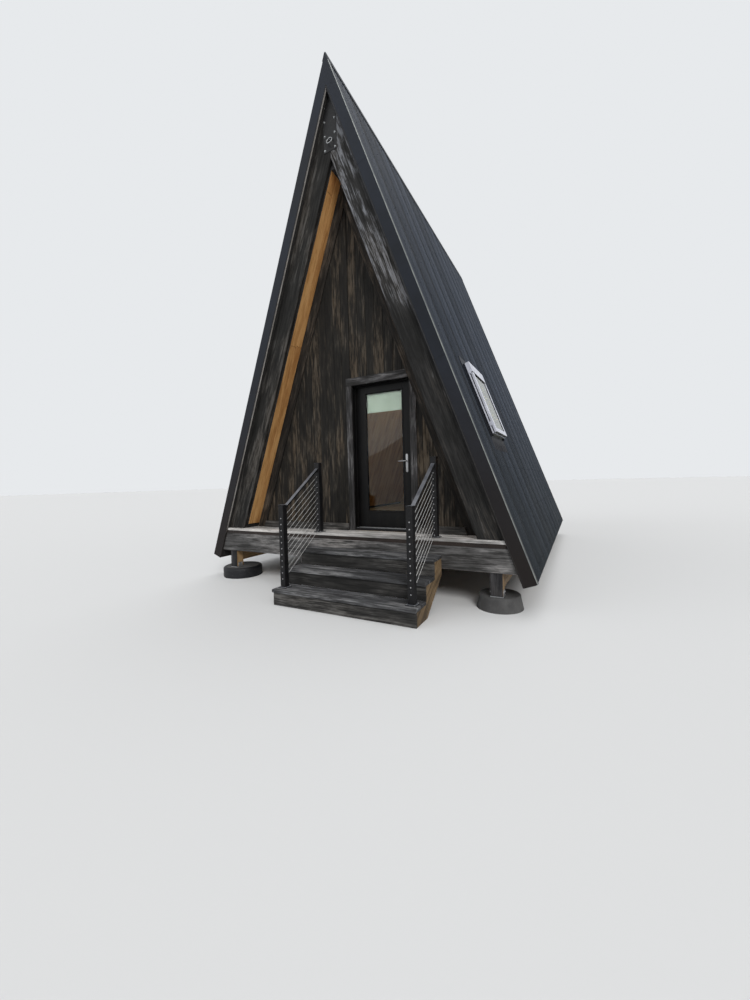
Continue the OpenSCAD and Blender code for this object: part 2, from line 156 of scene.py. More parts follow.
for name, place, power, spread_angle, colour in (
    ("key_lamp", (11.0, -13.0, 12.0), 2.1, 0.45, (1.0, 0.985, 0.96)),
    ("fill_lamp", (-10.0, -12.0, 8.0), 0.6, 0.9, (0.96, 0.98, 1.0)),
    ("top_lamp", (1.0, 3.0, 17.0), 0.8, 0.7, (1.0, 1.0, 1.0)),
):
    lamp_data = bpy.data.lights.new(name, "SUN")
    lamp_data.energy = power
    lamp_data.angle = spread_angle
    lamp_data.color = colour
    lamp = put(name, lamp_data)
    lamp.rotation_mode = "QUATERNION"
    lamp.rotation_quaternion = (-Vector(place)).to_track_quat("-Z", "Y")
indoor_data = bpy.data.lights.new("lamp_indoors", "AREA")
indoor_data.shape = "DISK"
indoor_data.size = 0.5
indoor_data.energy = 9.5
indoor_data.color = (1.0, 0.95, 0.78)
indoor_lamp = put("lamp_indoors", indoor_data)
indoor_lamp.location = (0.0, 0.6, 4.2)
indoor_lamp.visible_camera = False

FLOOR_TONE = (0.66, 0.67, 0.68)
floor_mesh = bmesh.new()
bmesh.ops.create_circle(floor_mesh, cap_ends=True, segments=96, radius=140.0)
ground_mesh = bpy.data.meshes.new("studio_floor")
floor_mesh.to_mesh(ground_mesh)
floor_mesh.free()
studio_floor = put("studio_floor", ground_mesh)
studio_floor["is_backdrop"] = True
floor_paint, tree, shader = new_material("studio_floor_paint", FLOOR_TONE)
dress(tree, shader, {"Base Color": FLOOR_TONE, "Roughness": 0.9, "Specular IOR Level": 0.1})
ground_mesh.materials.append(floor_paint)


# Piers: short round concrete pads cast in card tubes. Those on the left still
# wear a black plastic sleeve with a rounded shoulder.
def colour_mix(tree, factor, low, high):
    """One colour into another; each is a socket or three numbers."""
    node = wire(tree, "Mix", data_type="RGBA")
    for index, value in ((0, factor), (6, low), (7, high)):
        feed(tree, node.inputs[index], value)
    return node.outputs[2]


def spread(tree, value, low, high):
    """Stretches the part of a value between low and high to run from 0 to 1."""
    return wire(tree, "MapRange", {"Value": value, "From Min": low, "From Max": high}).outputs[0]


def here(tree):
    return wire(tree, "TexCoord").outputs["Object"]


def part_of(tree, axis):
    """One of the three coordinates of the spot that is shaded."""
    return wire(tree, "SeparateXYZ", {0: here(tree)}).outputs[axis]


def stretch(tree, place, scale):
    return wire(tree, "VectorMath", {0: place, 1: scale}, operation="MULTIPLY").outputs[0]


def noise(tree, place, scale, detail=3.0, roughness=0.5):
    inputs = {"Vector": place, "Scale": scale, "Detail": detail, "Roughness": roughness}
    return wire(tree, "TexNoise", inputs).outputs[0]


def bump(tree, height, depth, strength=1.0):
    return wire(tree, "Bump", {"Height": height, "Distance": depth, "Strength": strength}).outputs["Normal"]


def open_group(name, inputs, outputs):
    """A shader node group with named sockets, and the nodes that stand for its two ends."""
    group = bpy.data.node_groups.new(name, "ShaderNodeTree")
    for title, kind, value in inputs:
        made = group.interface.new_socket(title, in_out="INPUT", socket_type="NodeSocket" + kind)
        if value is not None:
            made.default_value = value
    for title in outputs:
        group.interface.new_socket(title, in_out="OUTPUT", socket_type="NodeSocketFloat")
    return group, group.nodes.new("NodeGroupInput").outputs, group.nodes.new("NodeGroupOutput").inputs


def place_group(tree, group, inputs):
    node = tree.nodes.new("ShaderNodeGroup")
    node.node_tree = group
    dress(tree, node, inputs)
    return node.outputs


# Dust and rain marks, shared by everything that stands outdoors
weather, weather_in, weather_out = open_group(
    "weather marks",
    [("Place", "Vector", None), ("Patch Size", "Float", 0.5), ("Run Width", "Float", 0.05)],
    ["Patches", "Runs", "Specks"],
)
weather_place = weather_in["Place"]
patch_scale = calc(weather, "DIVIDE", 1.0, weather_in["Patch Size"])
run_place = stretch(weather, weather_place, (1.0, 1.0, 0.06))
run_scale = calc(weather, "DIVIDE", 1.0, weather_in["Run Width"])
patches = noise(weather, weather_place, patch_scale, 5.0, 0.62)
runs = noise(weather, run_place, run_scale, 4.0, 0.6)
specks = noise(weather, weather_place, 55.0, 2.0)
for name, value, low, high in (
    ("Patches", patches, 0.36, 0.68), ("Runs", runs, 0.44, 0.68), ("Specks", specks, 0.58, 0.74)
):
    feed(weather, weather_out[name], spread(weather, value, low, high))


def mark(tree, patch_size, run_width, place=None):
    """The weather marks of one material, at sizes in metres."""
    inputs = {"Place": place or here(tree), "Patch Size": patch_size, "Run Width": run_width}
    return place_group(tree, weather, inputs)


def weathered(name, tint, sizes, low, high, worn=None, gloss=(0.5, 0.0), shine=0.5, relief=None):
    """Two tones in patches, a third where worn marks are, gloss that follows marks, and a noise relief."""
    material, tree, shader = new_material(name, tint)
    marks = mark(tree, *sizes)
    tone = colour_mix(tree, marks["Patches"], low, high)
    if worn:
        kind, share, worn_tone = worn
        tone = colour_mix(tree, times(tree, marks[kind], share), tone, worn_tone)
    rough, by, kind = (*gloss, "Patches")[:3]
    rough = calc(tree, "MULTIPLY_ADD", marks[kind], by, rough) if by else rough
    dress(tree, shader, {"Base Color": tone, "Roughness": rough, "Specular IOR Level": shine})
    if relief:
        scale, detail, depth = relief
        feed(tree, shader.inputs["Normal"], bump(tree, noise(tree, here(tree), scale, detail), depth))
    return material, tree, shader, tone


concrete, tree, shader, grey = weathered(
    "cast_concrete", (0.36, 0.36, 0.34), (0.22, 0.03), (0.042, 0.042, 0.043), (0.090, 0.090, 0.090),
    worn=("Runs", 0.35, (0.045, 0.043, 0.040)), gloss=(0.88, 0.0),
)
pores = wire(tree, "TexVoronoi", {"Vector": here(tree), "Scale": 48.0}).outputs["Distance"]
pits = spread(tree, pores, 0.26, 0.10)
grey = colour_mix(tree, times(tree, pits, 0.5), grey, (0.030, 0.030, 0.029))
concrete_height = calc(tree, "SUBTRACT", noise(tree, here(tree), 26.0, 6.0, 0.65), pits)
dress(tree, shader, {"Base Color": grey, "Normal": bump(tree, concrete_height, 0.004, 0.8)})
black_plastic = weathered(
    "black_sleeve_plastic", (0.03, 0.03, 0.033), (0.3, 0.04), (0.006, 0.0065, 0.008), (0.015, 0.016, 0.019),
    worn=("Specks", 0.3, (0.08, 0.075, 0.068)), gloss=(0.5, 0.2), shine=0.25, relief=(60.0, 3.0, 0.001),
)[0]


def join_into(whole, part):
    """Adds one bmesh to another and frees it."""
    scratch = bpy.data.meshes.new("scratch")
    part.to_mesh(scratch)
    part.free()
    whole.from_mesh(scratch)
    bpy.data.meshes.remove(scratch)


def make_piece(name, mesh, materials, nodes=(), smooth=None, body="cabin"):
    """Turns a bmesh into a finished piece that rides on a body and may stand for CAD nodes."""
    data = bpy.data.meshes.new(name)
    mesh.to_mesh(data)
    mesh.free()
    for material in materials:
        data.materials.append(material)
    if smooth is not None:
        data.shade_smooth()
        data.set_sharp_from_angle(angle=math.radians(smooth))
    piece = put(name, data)
    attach(piece, body)
    if nodes:
        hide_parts(*nodes)
    return piece


def islands(mesh):
    """The separate solids of a bmesh, each as a list of vertices."""
    left, found = set(mesh.verts), []
    while left:
        stack, group = [left.pop()], []
        while stack:
            vert = stack.pop()
            group.append(vert)
            for edge in vert.link_edges:
                other = edge.other_vert(vert)
                if other in left:
                    left.remove(other)
                    stack.append(other)
        found.append(group)
    return found


def span_of(verts):
    """The low and the high corner of the box round some vertices."""
    spots = [v.co for v in verts]
    return [Vector([pick(p[i] for p in spots) for i in range(3)]) for pick in (min, max)]


def middle_of(verts):
    return [(a + b) / 2 for a, b in zip(*span_of(verts))]


def solids(node):
    """Each solid of a CAD node as its own clean bmesh, sorted by its place."""
    whole = bmesh.new()
    whole.from_mesh(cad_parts[node].data)
    bmesh.ops.remove_doubles(whole, verts=whole.verts[:], dist=0.00002)
    bmesh.ops.dissolve_limit(whole, angle_limit=0.003, verts=whole.verts[:], edges=whole.edges[:])
    parts = []
    for index in range(len(islands(whole))):
        part = whole.copy()
        groups = sorted(islands(part), key=lambda g: tuple(round(c, 4) for c in middle_of(g)))
        drop = [v for i, g in enumerate(groups) if i != index for v in g]
        bmesh.ops.delete(part, geom=drop, context="VERTS")
        parts.append(part)
    whole.free()
    return parts


def face_out(shape):
    """Turns every face of a shape to look outward."""
    bmesh.ops.recalc_face_normals(shape, faces=shape.faces[:])


def whirl(shape, geometry, steps):
    """Spins edges a whole turn round the upright axis into a closed skin."""
    bmesh.ops.spin(
        shape, geom=geometry, cent=(0, 0, 0), axis=(0, 0, 1), angle=math.tau, steps=steps, use_merge=True
    )
    bmesh.ops.remove_doubles(shape, verts=shape.verts[:], dist=0.00005)
    face_out(shape)


def turned(profile, place, steps=56):
    """A closed shape spun from a profile of (radius, height) points round an upright axis."""
    shape = bmesh.new()
    points = [shape.verts.new((r, 0.0, z)) for r, z in profile]
    edges = [shape.edges.new(pair) for pair in zip(points, points[1:])]
    whirl(shape, points + edges, steps)
    bmesh.ops.translate(shape, vec=place, verts=shape.verts[:])
    return shape


PIER_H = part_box("piers")[1].z
SHOULDER = 0.034
SLEEVE_RIM = 0.008
pier_mesh, sleeve_mesh = bmesh.new(), bmesh.new()
for solid in solids("piers"):
    low, high = span_of(solid.verts)
    place = ((low.x + high.x) / 2, (low.y + high.y) / 2, 0.0)
    radius = (high.x - low.x) / 2
    solid.free()
    if place[0] > 0:
        ring = [(radius - 0.009 * k, PIER_H * (0.25 * k + 0.02)) for k in range(4)]
        lip = [(radius - 0.030, PIER_H - 0.009), (radius - 0.039, PIER_H), (0.0, PIER_H)]
        join_into(pier_mesh, turned([(0.0, 0.0), (radius, 0.0)] + ring + lip, place))
    else:
        wall = [(0.0, 0.0), (radius - 0.004, 0.0), (radius, 0.012), (radius, 0.060), (radius - 0.003, 0.064)]
        wall += [(radius - 0.003, 0.072), (radius, 0.076), (radius, PIER_H - SHOULDER)]
        for k in range(1, 6):
            a = math.radians(18 * k)
            wall.append((radius - SHOULDER * (1 - math.cos(a)), PIER_H - SHOULDER * (1 - math.sin(a))))
        wall += [(radius - SHOULDER - 0.012, PIER_H), (radius - SHOULDER - 0.016, PIER_H - SLEEVE_RIM)]
        join_into(sleeve_mesh, turned(wall + [(0.0, PIER_H - SLEEVE_RIM)], place))
        core = radius - SHOULDER - 0.015
        fill = [(0.0, PIER_H - 0.03), (core, PIER_H - 0.03), (core, PIER_H - 0.004)]
        fill += [(core - 0.004, PIER_H - 0.001), (0.0, PIER_H - 0.001)]
        join_into(pier_mesh, turned(fill, place))
make_piece("piers_bare", pier_mesh, [concrete], ["piers"], smooth=35)
make_piece("piers_sleeved", sleeve_mesh, [black_plastic], smooth=35)


# Posts and beams: square posts with a black front, natural beams between
# them, and steel standoff shoes bolted through the posts' feet.
fibres, fibres_in, fibres_out = open_group(
    "wood fibres",
    [("Place", "Vector", None), ("Streak Width", "Float", 0.14), ("Knot Size", "Float", 0.10)],
    ["Lines", "Streaks", "Patches", "Knots", "Height"],
)
fibre_place = fibres_in["Place"]
wander = noise(fibres, stretch(fibres, fibre_place, (0.5, 2.0, 2.0)), 1.0, 1.0)
bent = wire(fibres, "CombineXYZ", {"X": 0.0, "Y": wander, "Z": wander}).outputs[0]
bent_inputs = {0: bent, 1: (0.0, 0.05, 0.05), 2: fibre_place}
bent_place = wire(fibres, "VectorMath", bent_inputs, operation="MULTIPLY_ADD").outputs[0]
streak_scale = calc(fibres, "DIVIDE", 1.0, fibres_in["Streak Width"])
lines = noise(fibres, stretch(fibres, bent_place, (3.0, 62.0, 62.0)), 1.0, 4.0, 0.65)
streaks = noise(fibres, stretch(fibres, bent_place, (0.16, 1.0, 1.0)), streak_scale, 6.0, 0.66)
wide = noise(fibres, stretch(fibres, bent_place, (0.8, 2.6, 2.6)), 1.0, 3.0, 0.55)
knot_place = stretch(fibres, bent_place, (1.5, 4.4, 4.4))
knot_cells = wire(fibres, "TexVoronoi", {"Vector": knot_place, "Scale": 1.0}).outputs["Distance"]
fibre_height = calc(fibres, "MULTIPLY_ADD", lines, 0.6, times(fibres, streaks, 0.4))
feed(fibres, fibres_out["Height"], fibre_height)
for name, value, low, high in (
    ("Lines", lines, 0.36, 0.64), ("Streaks", streaks, 0.38, 0.63), ("Patches", wide, 0.34, 0.66),
    ("Knots", knot_cells, fibres_in["Knot Size"], 0.02),
):
    feed(fibres, fibres_out[name], spread(fibres, value, low, high))


def wood(
    name, dark, middle, pale, warm,
    warmth=0.3, streak=0.05, knot=0.10, rough=0.75, relief=0.0016, shine=0.2, silvered=None,
):
    """Sawn wood: tones along the fibres, warmer worn patches, dark knots, and paler above a height, partly
    silver weathering and partly painted sunlight.
    """
    material, tree, shader = new_material(name, middle)
    place = wire(tree, "Attribute", attribute_name="grain").outputs["Vector"]
    out = place_group(tree, fibres, {"Place": place, "Streak Width": streak, "Knot Size": knot})
    mixed = calc(tree, "MULTIPLY_ADD", out["Streaks"], 0.56, times(tree, out["Lines"], 0.44))
    mixed = times(tree, mixed, calc(tree, "MULTIPLY_ADD", out["Patches"], 1.05, 0.38))
    # Paler higher up: partly silver weathering, partly painted sunlight on the upper part.
    if silvered:
        from_z, to_z, below, more = silvered
        height = spread(tree, part_of(tree, "Z"), from_z, to_z)
        mixed = times(tree, mixed, calc(tree, "MULTIPLY_ADD", height, more, below))
    tone = colour_mix(tree, spread(tree, mixed, 0.12, 0.50), dark, middle)
    tone = colour_mix(tree, spread(tree, mixed, 0.50, 1.05), tone, pale)
    worn = times(tree, spread(tree, out["Patches"], 0.35, 1.0), spread(tree, mixed, 0.25, 0.7))
    tone = colour_mix(tree, times(tree, worn, warmth), tone, warm)
    tone = colour_mix(tree, times(tree, out["Knots"], 0.75), tone, dark)
    gloss = calc(tree, "SUBTRACT", rough + 0.08, times(tree, out["Lines"], 0.16))
    dress(tree, shader, {"Base Color": tone, "Roughness": gloss, "Specular IOR Level": shine})
    feed(tree, shader.inputs["Normal"], bump(tree, out["Height"], relief))
    return material


charred_post = wood(
    "charred_post_wood", (0.007, 0.007, 0.008), (0.018, 0.018, 0.020), (0.055, 0.055, 0.060),
    (0.05, 0.045, 0.04), warmth=0.4,
)
natural_frame = wood(
    "natural_frame_wood", (0.13, 0.078, 0.037), (0.28, 0.185, 0.095), (0.40, 0.285, 0.165),
    (0.32, 0.195, 0.085), warmth=0.5, streak=0.10, knot=0.09, rough=0.62, relief=0.0007,
)

ALONG_X, ALONG_Y, UPRIGHT = (1, 0, 0), (0, 1, 0), (0, 0, 1)
EDGE = 0.003
grain_random = random.Random(11)


def split(mesh, point, normal, clear=True):
    """Cuts a mesh along a plane, drops what is on the normal's side, and returns the cut's edges."""
    geometry = mesh.verts[:] + mesh.edges[:] + mesh.faces[:]
    made = bmesh.ops.bisect_plane(
        mesh, geom=geometry, dist=0.00001, plane_co=point, plane_no=normal, clear_outer=clear
    )
    return [e for e in made["geom_cut"] if isinstance(e, bmesh.types.BMEdge)]


def saw(mesh, point, normal):
    """Saws a solid along a plane, drops what is on the normal's side and closes the cut."""
    edges = split(mesh, point, normal)
    if edges:
        bmesh.ops.holes_fill(mesh, edges=edges)


def ease(mesh, width=EDGE, segments=1, angle=28):
    """Takes the sharp edges off a solid."""
    sharp = [e for e in mesh.edges if len(e.link_faces) == 2 and e.calc_face_angle(0.0) > math.radians(angle)]
    if sharp:
        bmesh.ops.bevel(
            mesh, geom=sharp, offset=width, offset_type="OFFSET", segments=segments, profile=0.5,
            affect="EDGES", clamp_overlap=True, material=-1,
        )


def lay_grain(mesh, along):
    """Stores on each vertex where it lies in its own board: along, across and into the wood."""
    a = Vector(along).normalized()
    b = a.cross(Vector(ALONG_Y) if abs(a.y) < 0.9 else Vector(UPRIGHT)).normalized()
    c = a.cross(b)
    shift = Vector([grain_random.uniform(-40, 40) for _ in range(3)])
    layer = mesh.verts.layers.float_vector.get("grain") or mesh.verts.layers.float_vector.new("grain")
    for vert in mesh.verts:
        vert[layer] = Vector((vert.co.dot(a), vert.co.dot(b), vert.co.dot(c))) + shift


def add_board(mesh, board, along, width=EDGE):
    """Eases a board's edges, lays its grain and adds it to a mesh."""
    ease(board, width)
    lay_grain(board, along)
    join_into(mesh, board)


def timbers(node, along, width=EDGE, cuts=None):
    """Every solid of a CAD node as sawn timber with eased edges and its grain along a direction."""
    whole = bmesh.new()
    for solid in solids(node):
        direction = along(solid) if callable(along) else along
        for board in cuts(solid) if cuts else [solid]:
            add_board(whole, board, direction, width)
    return whole


def timber_piece(name, node, along, material, width=EDGE, cuts=None):
    make_piece(name, timbers(node, along, width, cuts), [material], [node])


def paint_faces(mesh, index, chosen):
    """Gives the faces that pass a test the material with this number."""
    for face in mesh.faces:
        face.normal_update()
        if chosen(face):
            face.material_index = index


post_mesh = timbers("posts", UPRIGHT, 0.005)
paint_faces(post_mesh, 1, lambda f: abs(f.normal.x) > 0.9)
make_piece("corner_posts", post_mesh, [charred_post, natural_frame], ["posts"])
timber_piece("beams_along", "side_beams", ALONG_Y, natural_frame, 0.004)
timber_piece("joists", "floor_joists", ALONG_X, natural_frame)

galvanised, tree, shader = new_material("galvanised_steel", (0.34, 0.35, 0.36))
spangle = wire(tree, "TexVoronoi", {"Vector": here(tree), "Scale": 90.0}).outputs["Color"]
marks = mark(tree, 0.15, 0.03)
zinc = colour_mix(tree, spangle, (0.26, 0.27, 0.28), (0.42, 0.43, 0.44))
zinc = colour_mix(tree, times(tree, marks["Patches"], 0.5), zinc, (0.20, 0.20, 0.20))
zinc_gloss = calc(tree, "MULTIPLY_ADD", marks["Patches"], 0.2, 0.4)
dress(tree, shader, {"Base Color": zinc, "Metallic": 0.85, "Roughness": zinc_gloss})


def block(low, high, width=0.0, segments=1):
    """A box between two corners, with its edges eased."""
    shape = bmesh.new()
    bmesh.ops.create_cube(shape, size=1.0)
    low, high = Vector(low), Vector(high)
    bmesh.ops.scale(shape, vec=high - low, verts=shape.verts[:])
    bmesh.ops.translate(shape, vec=(low + high) / 2, verts=shape.verts[:])
    if width:
        ease(shape, width, segments)
    return shape


FACE_ON = Matrix.Rotation(math.pi / 2, 4, "X")
SIDEWAYS = Matrix.Rotation(math.pi / 2, 4, "Y")


def rod(mesh, place, radius, length, segments, tip=None, turn=None):
    """Adds an upright round bar, or one that is turned and tapers to a tip, with its middle at a place."""
    matrix = Matrix.Translation(place)
    bmesh.ops.create_cone(
        mesh, cap_ends=True, segments=segments, radius1=radius, radius2=tip or radius, depth=length,
        matrix=matrix @ turn if turn else matrix,
    )


def toward(way):
    """The turn that lays the upright axis along a direction."""
    return Vector(UPRIGHT).rotation_difference(Vector(way)).to_matrix().to_4x4()


def bolt(place, axis, radius, height, washer):
    """A hexagon head on a washer, standing out along an axis."""
    shape = bmesh.new()
    rod(shape, (0, 0, height / 2 + 0.002), radius, height, 6)
    ease(shape, min(radius, height) * 0.18)
    rod(shape, (0, 0, 0.0015), washer, 0.003, 20, washer * 0.94)
    bmesh.ops.transform(shape, matrix=Matrix.Translation(place) @ toward(axis), verts=shape.verts[:])
    return shape


shoe_mesh = bmesh.new()
shoe_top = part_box("post_shoes")[1].z
for solid in solids("post_shoes"):
    low, high = span_of(solid.verts)
    x, y = (low.x + high.x) / 2, (low.y + high.y) / 2
    half = (high.x - low.x) / 2
    ease(solid, 0.002)
    join_into(shoe_mesh, solid)
    for side in (-1, 1):
        ear_x = x + side * (half - 0.0035)
        ear_low = (ear_x - 0.0015, y - half * 0.6, shoe_top - 0.002)
        join_into(shoe_mesh, block(ear_low, (ear_x + 0.0015, y + half * 0.6, shoe_top + 0.072), 0.0008))
        for along in (-0.03, 0.03):
            place = (ear_x + side * 0.0015, y + along, shoe_top + 0.042)
            join_into(shoe_mesh, bolt(place, (side, 0, 0), 0.009, 0.007, 0.014))
make_piece("standoff_shoes", shoe_mesh, [galvanised], ["post_shoes"])


# Platform: rim boards all round, a plywood deck on the joists, boards laid
# across the two porches and narrow floorboards inside.
rim_wood = wood(
    "silvered_rim_wood", (0.024, 0.0235, 0.023), (0.10, 0.098, 0.098), (0.31, 0.305, 0.305),
    (0.15, 0.135, 0.12), knot=0.14, streak=0.055,
)
deck_wood = wood(
    "weathered_deck_wood", (0.17, 0.165, 0.16), (0.42, 0.41, 0.405), (0.62, 0.61, 0.60), (0.44, 0.40, 0.36),
    knot=0.08,
)
floor_wood = wood(
    "pale_floor_wood", (0.30, 0.20, 0.11), (0.52, 0.39, 0.25), (0.62, 0.50, 0.35), (0.55, 0.38, 0.21),
    streak=0.08, knot=0.05, rough=0.45, relief=0.0004, shine=0.4,
)
plywood = wood(
    "plywood_sheet", (0.24, 0.15, 0.08), (0.42, 0.29, 0.16), (0.50, 0.37, 0.23), (0.44, 0.28, 0.14),
    streak=0.12, knot=0.08, relief=0.0003,
)


def rip(solid, axis, pitch, start, gap):
    """Rips a solid into boards of one pitch, side by side along an axis."""
    way = Vector(axis)
    spots = [v.co.dot(way) for v in solid.verts]
    low, high = min(spots), max(spots)
    boards = []
    for k in range(math.floor((low - start) / pitch), math.ceil((high - start) / pitch) + 1):
        near, far = start + k * pitch + gap / 2, start + (k + 1) * pitch - gap / 2
        if far < low + 0.006 or near > high - 0.006:
            continue
        board = solid.copy()
        if near > low:
            saw(board, way * near, -way)
        if far < high:
            saw(board, way * far, way)
        if board.verts:
            boards.append(board)
    solid.free()
    return boards


timber_piece("rim_ends", "rim_boards", ALONG_X, rim_wood, width=0.004)
timber_piece("rim_sides", "side_rims", ALONG_Y, rim_wood, width=0.004)
timber_piece("porch_boards", "porch_decks", ALONG_X, deck_wood, 0.004)

PLANKS_FROM = 0.78
PLY_SHEET, PLANK = 1.2195, 0.118
subfloor_mesh, planks_mesh = bmesh.new(), bmesh.new()
for solid in solids("floor"):
    if middle_of(solid.verts)[2] < PLANKS_FROM:
        for sheet_part in rip(solid, ALONG_Y, PLY_SHEET, deck_edge, 0.003):
            add_board(subfloor_mesh, sheet_part, ALONG_X, 0.0015)
    else:
        for plank in rip(solid, ALONG_X, PLANK, 0.0, 0.0015):
            add_board(planks_mesh, plank, ALONG_Y, 0.0018)
drip_brown = weathered(
    "brown_drip_edge", (0.02, 0.014, 0.012), (0.3, 0.02), (0.010, 0.007, 0.006), (0.024, 0.016, 0.013),
    gloss=(0.5, 0.2, "Runs"), shine=0.25,
)[0]
paint_faces(subfloor_mesh, 1, lambda f: abs(f.normal.x) > 0.5 or abs(f.normal.y) > 0.9)
make_piece("floor_sheets", subfloor_mesh, [plywood, drip_brown], ["floor"])
drip_mesh = bmesh.new()
floor_low, floor_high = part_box("floor")
deck_low, deck_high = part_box("porch_decks")
for y0, y1 in ((deck_low.y - 0.003, deck_low.y), (deck_high.y, deck_high.y + 0.003)):
    low = (floor_low.x + 0.018, y0, floor_low.z + 0.001)
    join_into(drip_mesh, block(low, (floor_high.x - 0.018, y1, deck_low.z - 0.001), 0.0006))
make_piece("deck_drip_edges", drip_mesh, [drip_brown])
make_piece("floorboards", planks_mesh, [floor_wood])

screw_heads = bmesh.new()
screw_random = random.Random(5)
for solid in solids("porch_decks"):
    low, high = span_of(solid.verts)
    reach = min(abs(min(v.co.x for v in solid.verts if v.co.z > high.z - 0.001)), 2.2) - 0.05
    solid.free()
    for k in range(-5, 6):
        for y in (low.y + 0.025, high.y - 0.025):
            x = k * reach / 5 + screw_random.uniform(-0.006, 0.006)
            rod(screw_heads, (x, y, high.z + 0.0002), 0.0045, 0.0012, 10, 0.0035)
make_piece("porch_screws", screw_heads, [galvanised], smooth=40)


# Roof packages: boarding and insulation over the rafters, a dark stained
# solid on each side that shows only under the overhangs.
def away(tree, value, middle):
    """How far a value lies from a middle one."""
    return calc(tree, "ABSOLUTE", calc(tree, "SUBTRACT", value, middle))


BOARDING_W = 0.14
dark_boarding, tree, shader = new_material("dark_roof_boarding", (0.03, 0.028, 0.026))
board_step = calc(tree, "FRACT", calc(tree, "DIVIDE", part_of(tree, "Y"), BOARDING_W))
seam = spread(tree, away(tree, board_step, 0.5), 0.47, 0.5)
marks = mark(tree, 0.35, 0.02)
tone = colour_mix(tree, marks["Runs"], (0.006, 0.0055, 0.005), (0.022, 0.019, 0.016))
tone = colour_mix(tree, seam, tone, (0.004, 0.004, 0.004))
seam_height = calc(tree, "SUBTRACT", marks["Runs"], times(tree, seam, 2.0))
dress(tree, shader, {"Base Color": tone, "Roughness": 0.85, "Normal": bump(tree, seam_height, 0.002)})
for name in ("roof_left", "roof_right"):
    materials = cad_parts[name].data.materials
    materials.clear()
    materials.append(dark_boarding)


# Rafters: a pair of deep charred planks at each end, joined under the ridge
# by a bolted steel plate that carries a small ring.
PITCH = math.radians(69.85)
RIDGE = 7.37


def down_slope(solid):
    """The direction down the roof on the side where a solid lies."""
    side = 1 if middle_of(solid.verts)[0] > 0 else -1
    return Vector((side * math.cos(PITCH), 0.0, -math.sin(PITCH)))


# The rafters are paler and bluer higher up: partly silver weathering, partly painted sunlight.
rafter_wood = wood(
    "charred_rafter_wood", (0.006, 0.0058, 0.0055), (0.024, 0.0235, 0.0235), (0.215, 0.226, 0.252),
    (0.060, 0.045, 0.028), warmth=0.4, knot=0.12, streak=0.055, silvered=(2.4, 5.4, 0.48, 0.95),
)
# A darker copy of the rafter wood for the left rafters: painted shade.
shaded_rafter_wood = wood(
    "painted_shade_rafter_wood", (0.004, 0.0038, 0.0035), (0.0135, 0.0128, 0.0118), (0.078, 0.077, 0.075),
    (0.042, 0.031, 0.021), warmth=0.4, knot=0.12, streak=0.055,
)
for name, node in (("rafters_front", "front_rafters"), ("rafters_back", "back_rafters")):
    pair_mesh = timbers(node, down_slope, 0.004)
    # Left-side faces take the darker copy, as painted shade.
    paint_faces(pair_mesh, 1, lambda f: f.calc_center_median().x < 0)
    make_piece(name, pair_mesh, [rafter_wood, shaded_rafter_wood], [node])
timber_piece("apex_fillers", "apex_blocks", UPRIGHT, charred_post)

black_steel = weathered(
    "black_coated_steel", (0.02, 0.02, 0.022), (0.12, 0.03), (0.004, 0.004, 0.0045), (0.008, 0.008, 0.009),
    worn=("Specks", 0.25, (0.06, 0.057, 0.052)), gloss=(0.42, 0.12), shine=0.2, relief=(420.0, 2.0, 0.0004),
)[0]
stainless, tree, shader = new_material("brushed_stainless", (0.58, 0.58, 0.57))
brush = noise(tree, stretch(tree, here(tree), (400.0, 400.0, 12.0)), 1.0, 2.0)
steel = colour_mix(tree, brush, (0.21, 0.21, 0.215), (0.37, 0.37, 0.375))
steel_gloss = calc(tree, "MULTIPLY_ADD", brush, 0.15, 0.30)
dress(tree, shader, {"Base Color": steel, "Metallic": 1.0, "Roughness": steel_gloss})

BOLT_X, BOLT_ROWS, BOLT_PITCH = 0.083, 4, 0.192
RING_R, RING_WIRE, RING_LEAN = 0.044, 0.0065, 72
plate_mesh, plate_bolts = bmesh.new(), bmesh.new()
for solid in solids("gusset_plates"):
    low, high = span_of(solid.verts)
    out, face = (-1, low.y) if low.y < 0 else (1, high.y)
    ease(solid, 0.0015)
    join_into(plate_mesh, solid)
    for side in (-1, 1):
        for row in range(BOLT_ROWS):
            place = (side * BOLT_X, face, low.z + 0.03 + row * BOLT_PITCH)
            join_into(plate_bolts, bolt(place, (0, out, 0), 0.010, 0.010, 0.014))
    eye = bmesh.new()
    wire_end = Matrix.Translation((RING_R, 0, 0)) @ FACE_ON
    bmesh.ops.create_circle(eye, segments=10, radius=RING_WIRE, matrix=wire_end)
    whirl(eye, eye.verts[:] + eye.edges[:], 28)
    hang = Matrix.Translation((0.0, face + out * 0.022, low.z + 0.128))
    lean = Matrix.Rotation(math.radians(RING_LEAN), 4, "X")
    bmesh.ops.transform(eye, matrix=hang @ lean, verts=eye.verts[:])
    join_into(plate_bolts, eye)
    join_into(plate_bolts, bolt((0.0, face, low.z + 0.166), (0, out, 0), 0.009, 0.018, 0.016))
make_piece("apex_plates", plate_mesh, [black_steel], ["gusset_plates"])
make_piece("apex_bolts", plate_bolts, [galvanised], smooth=32)


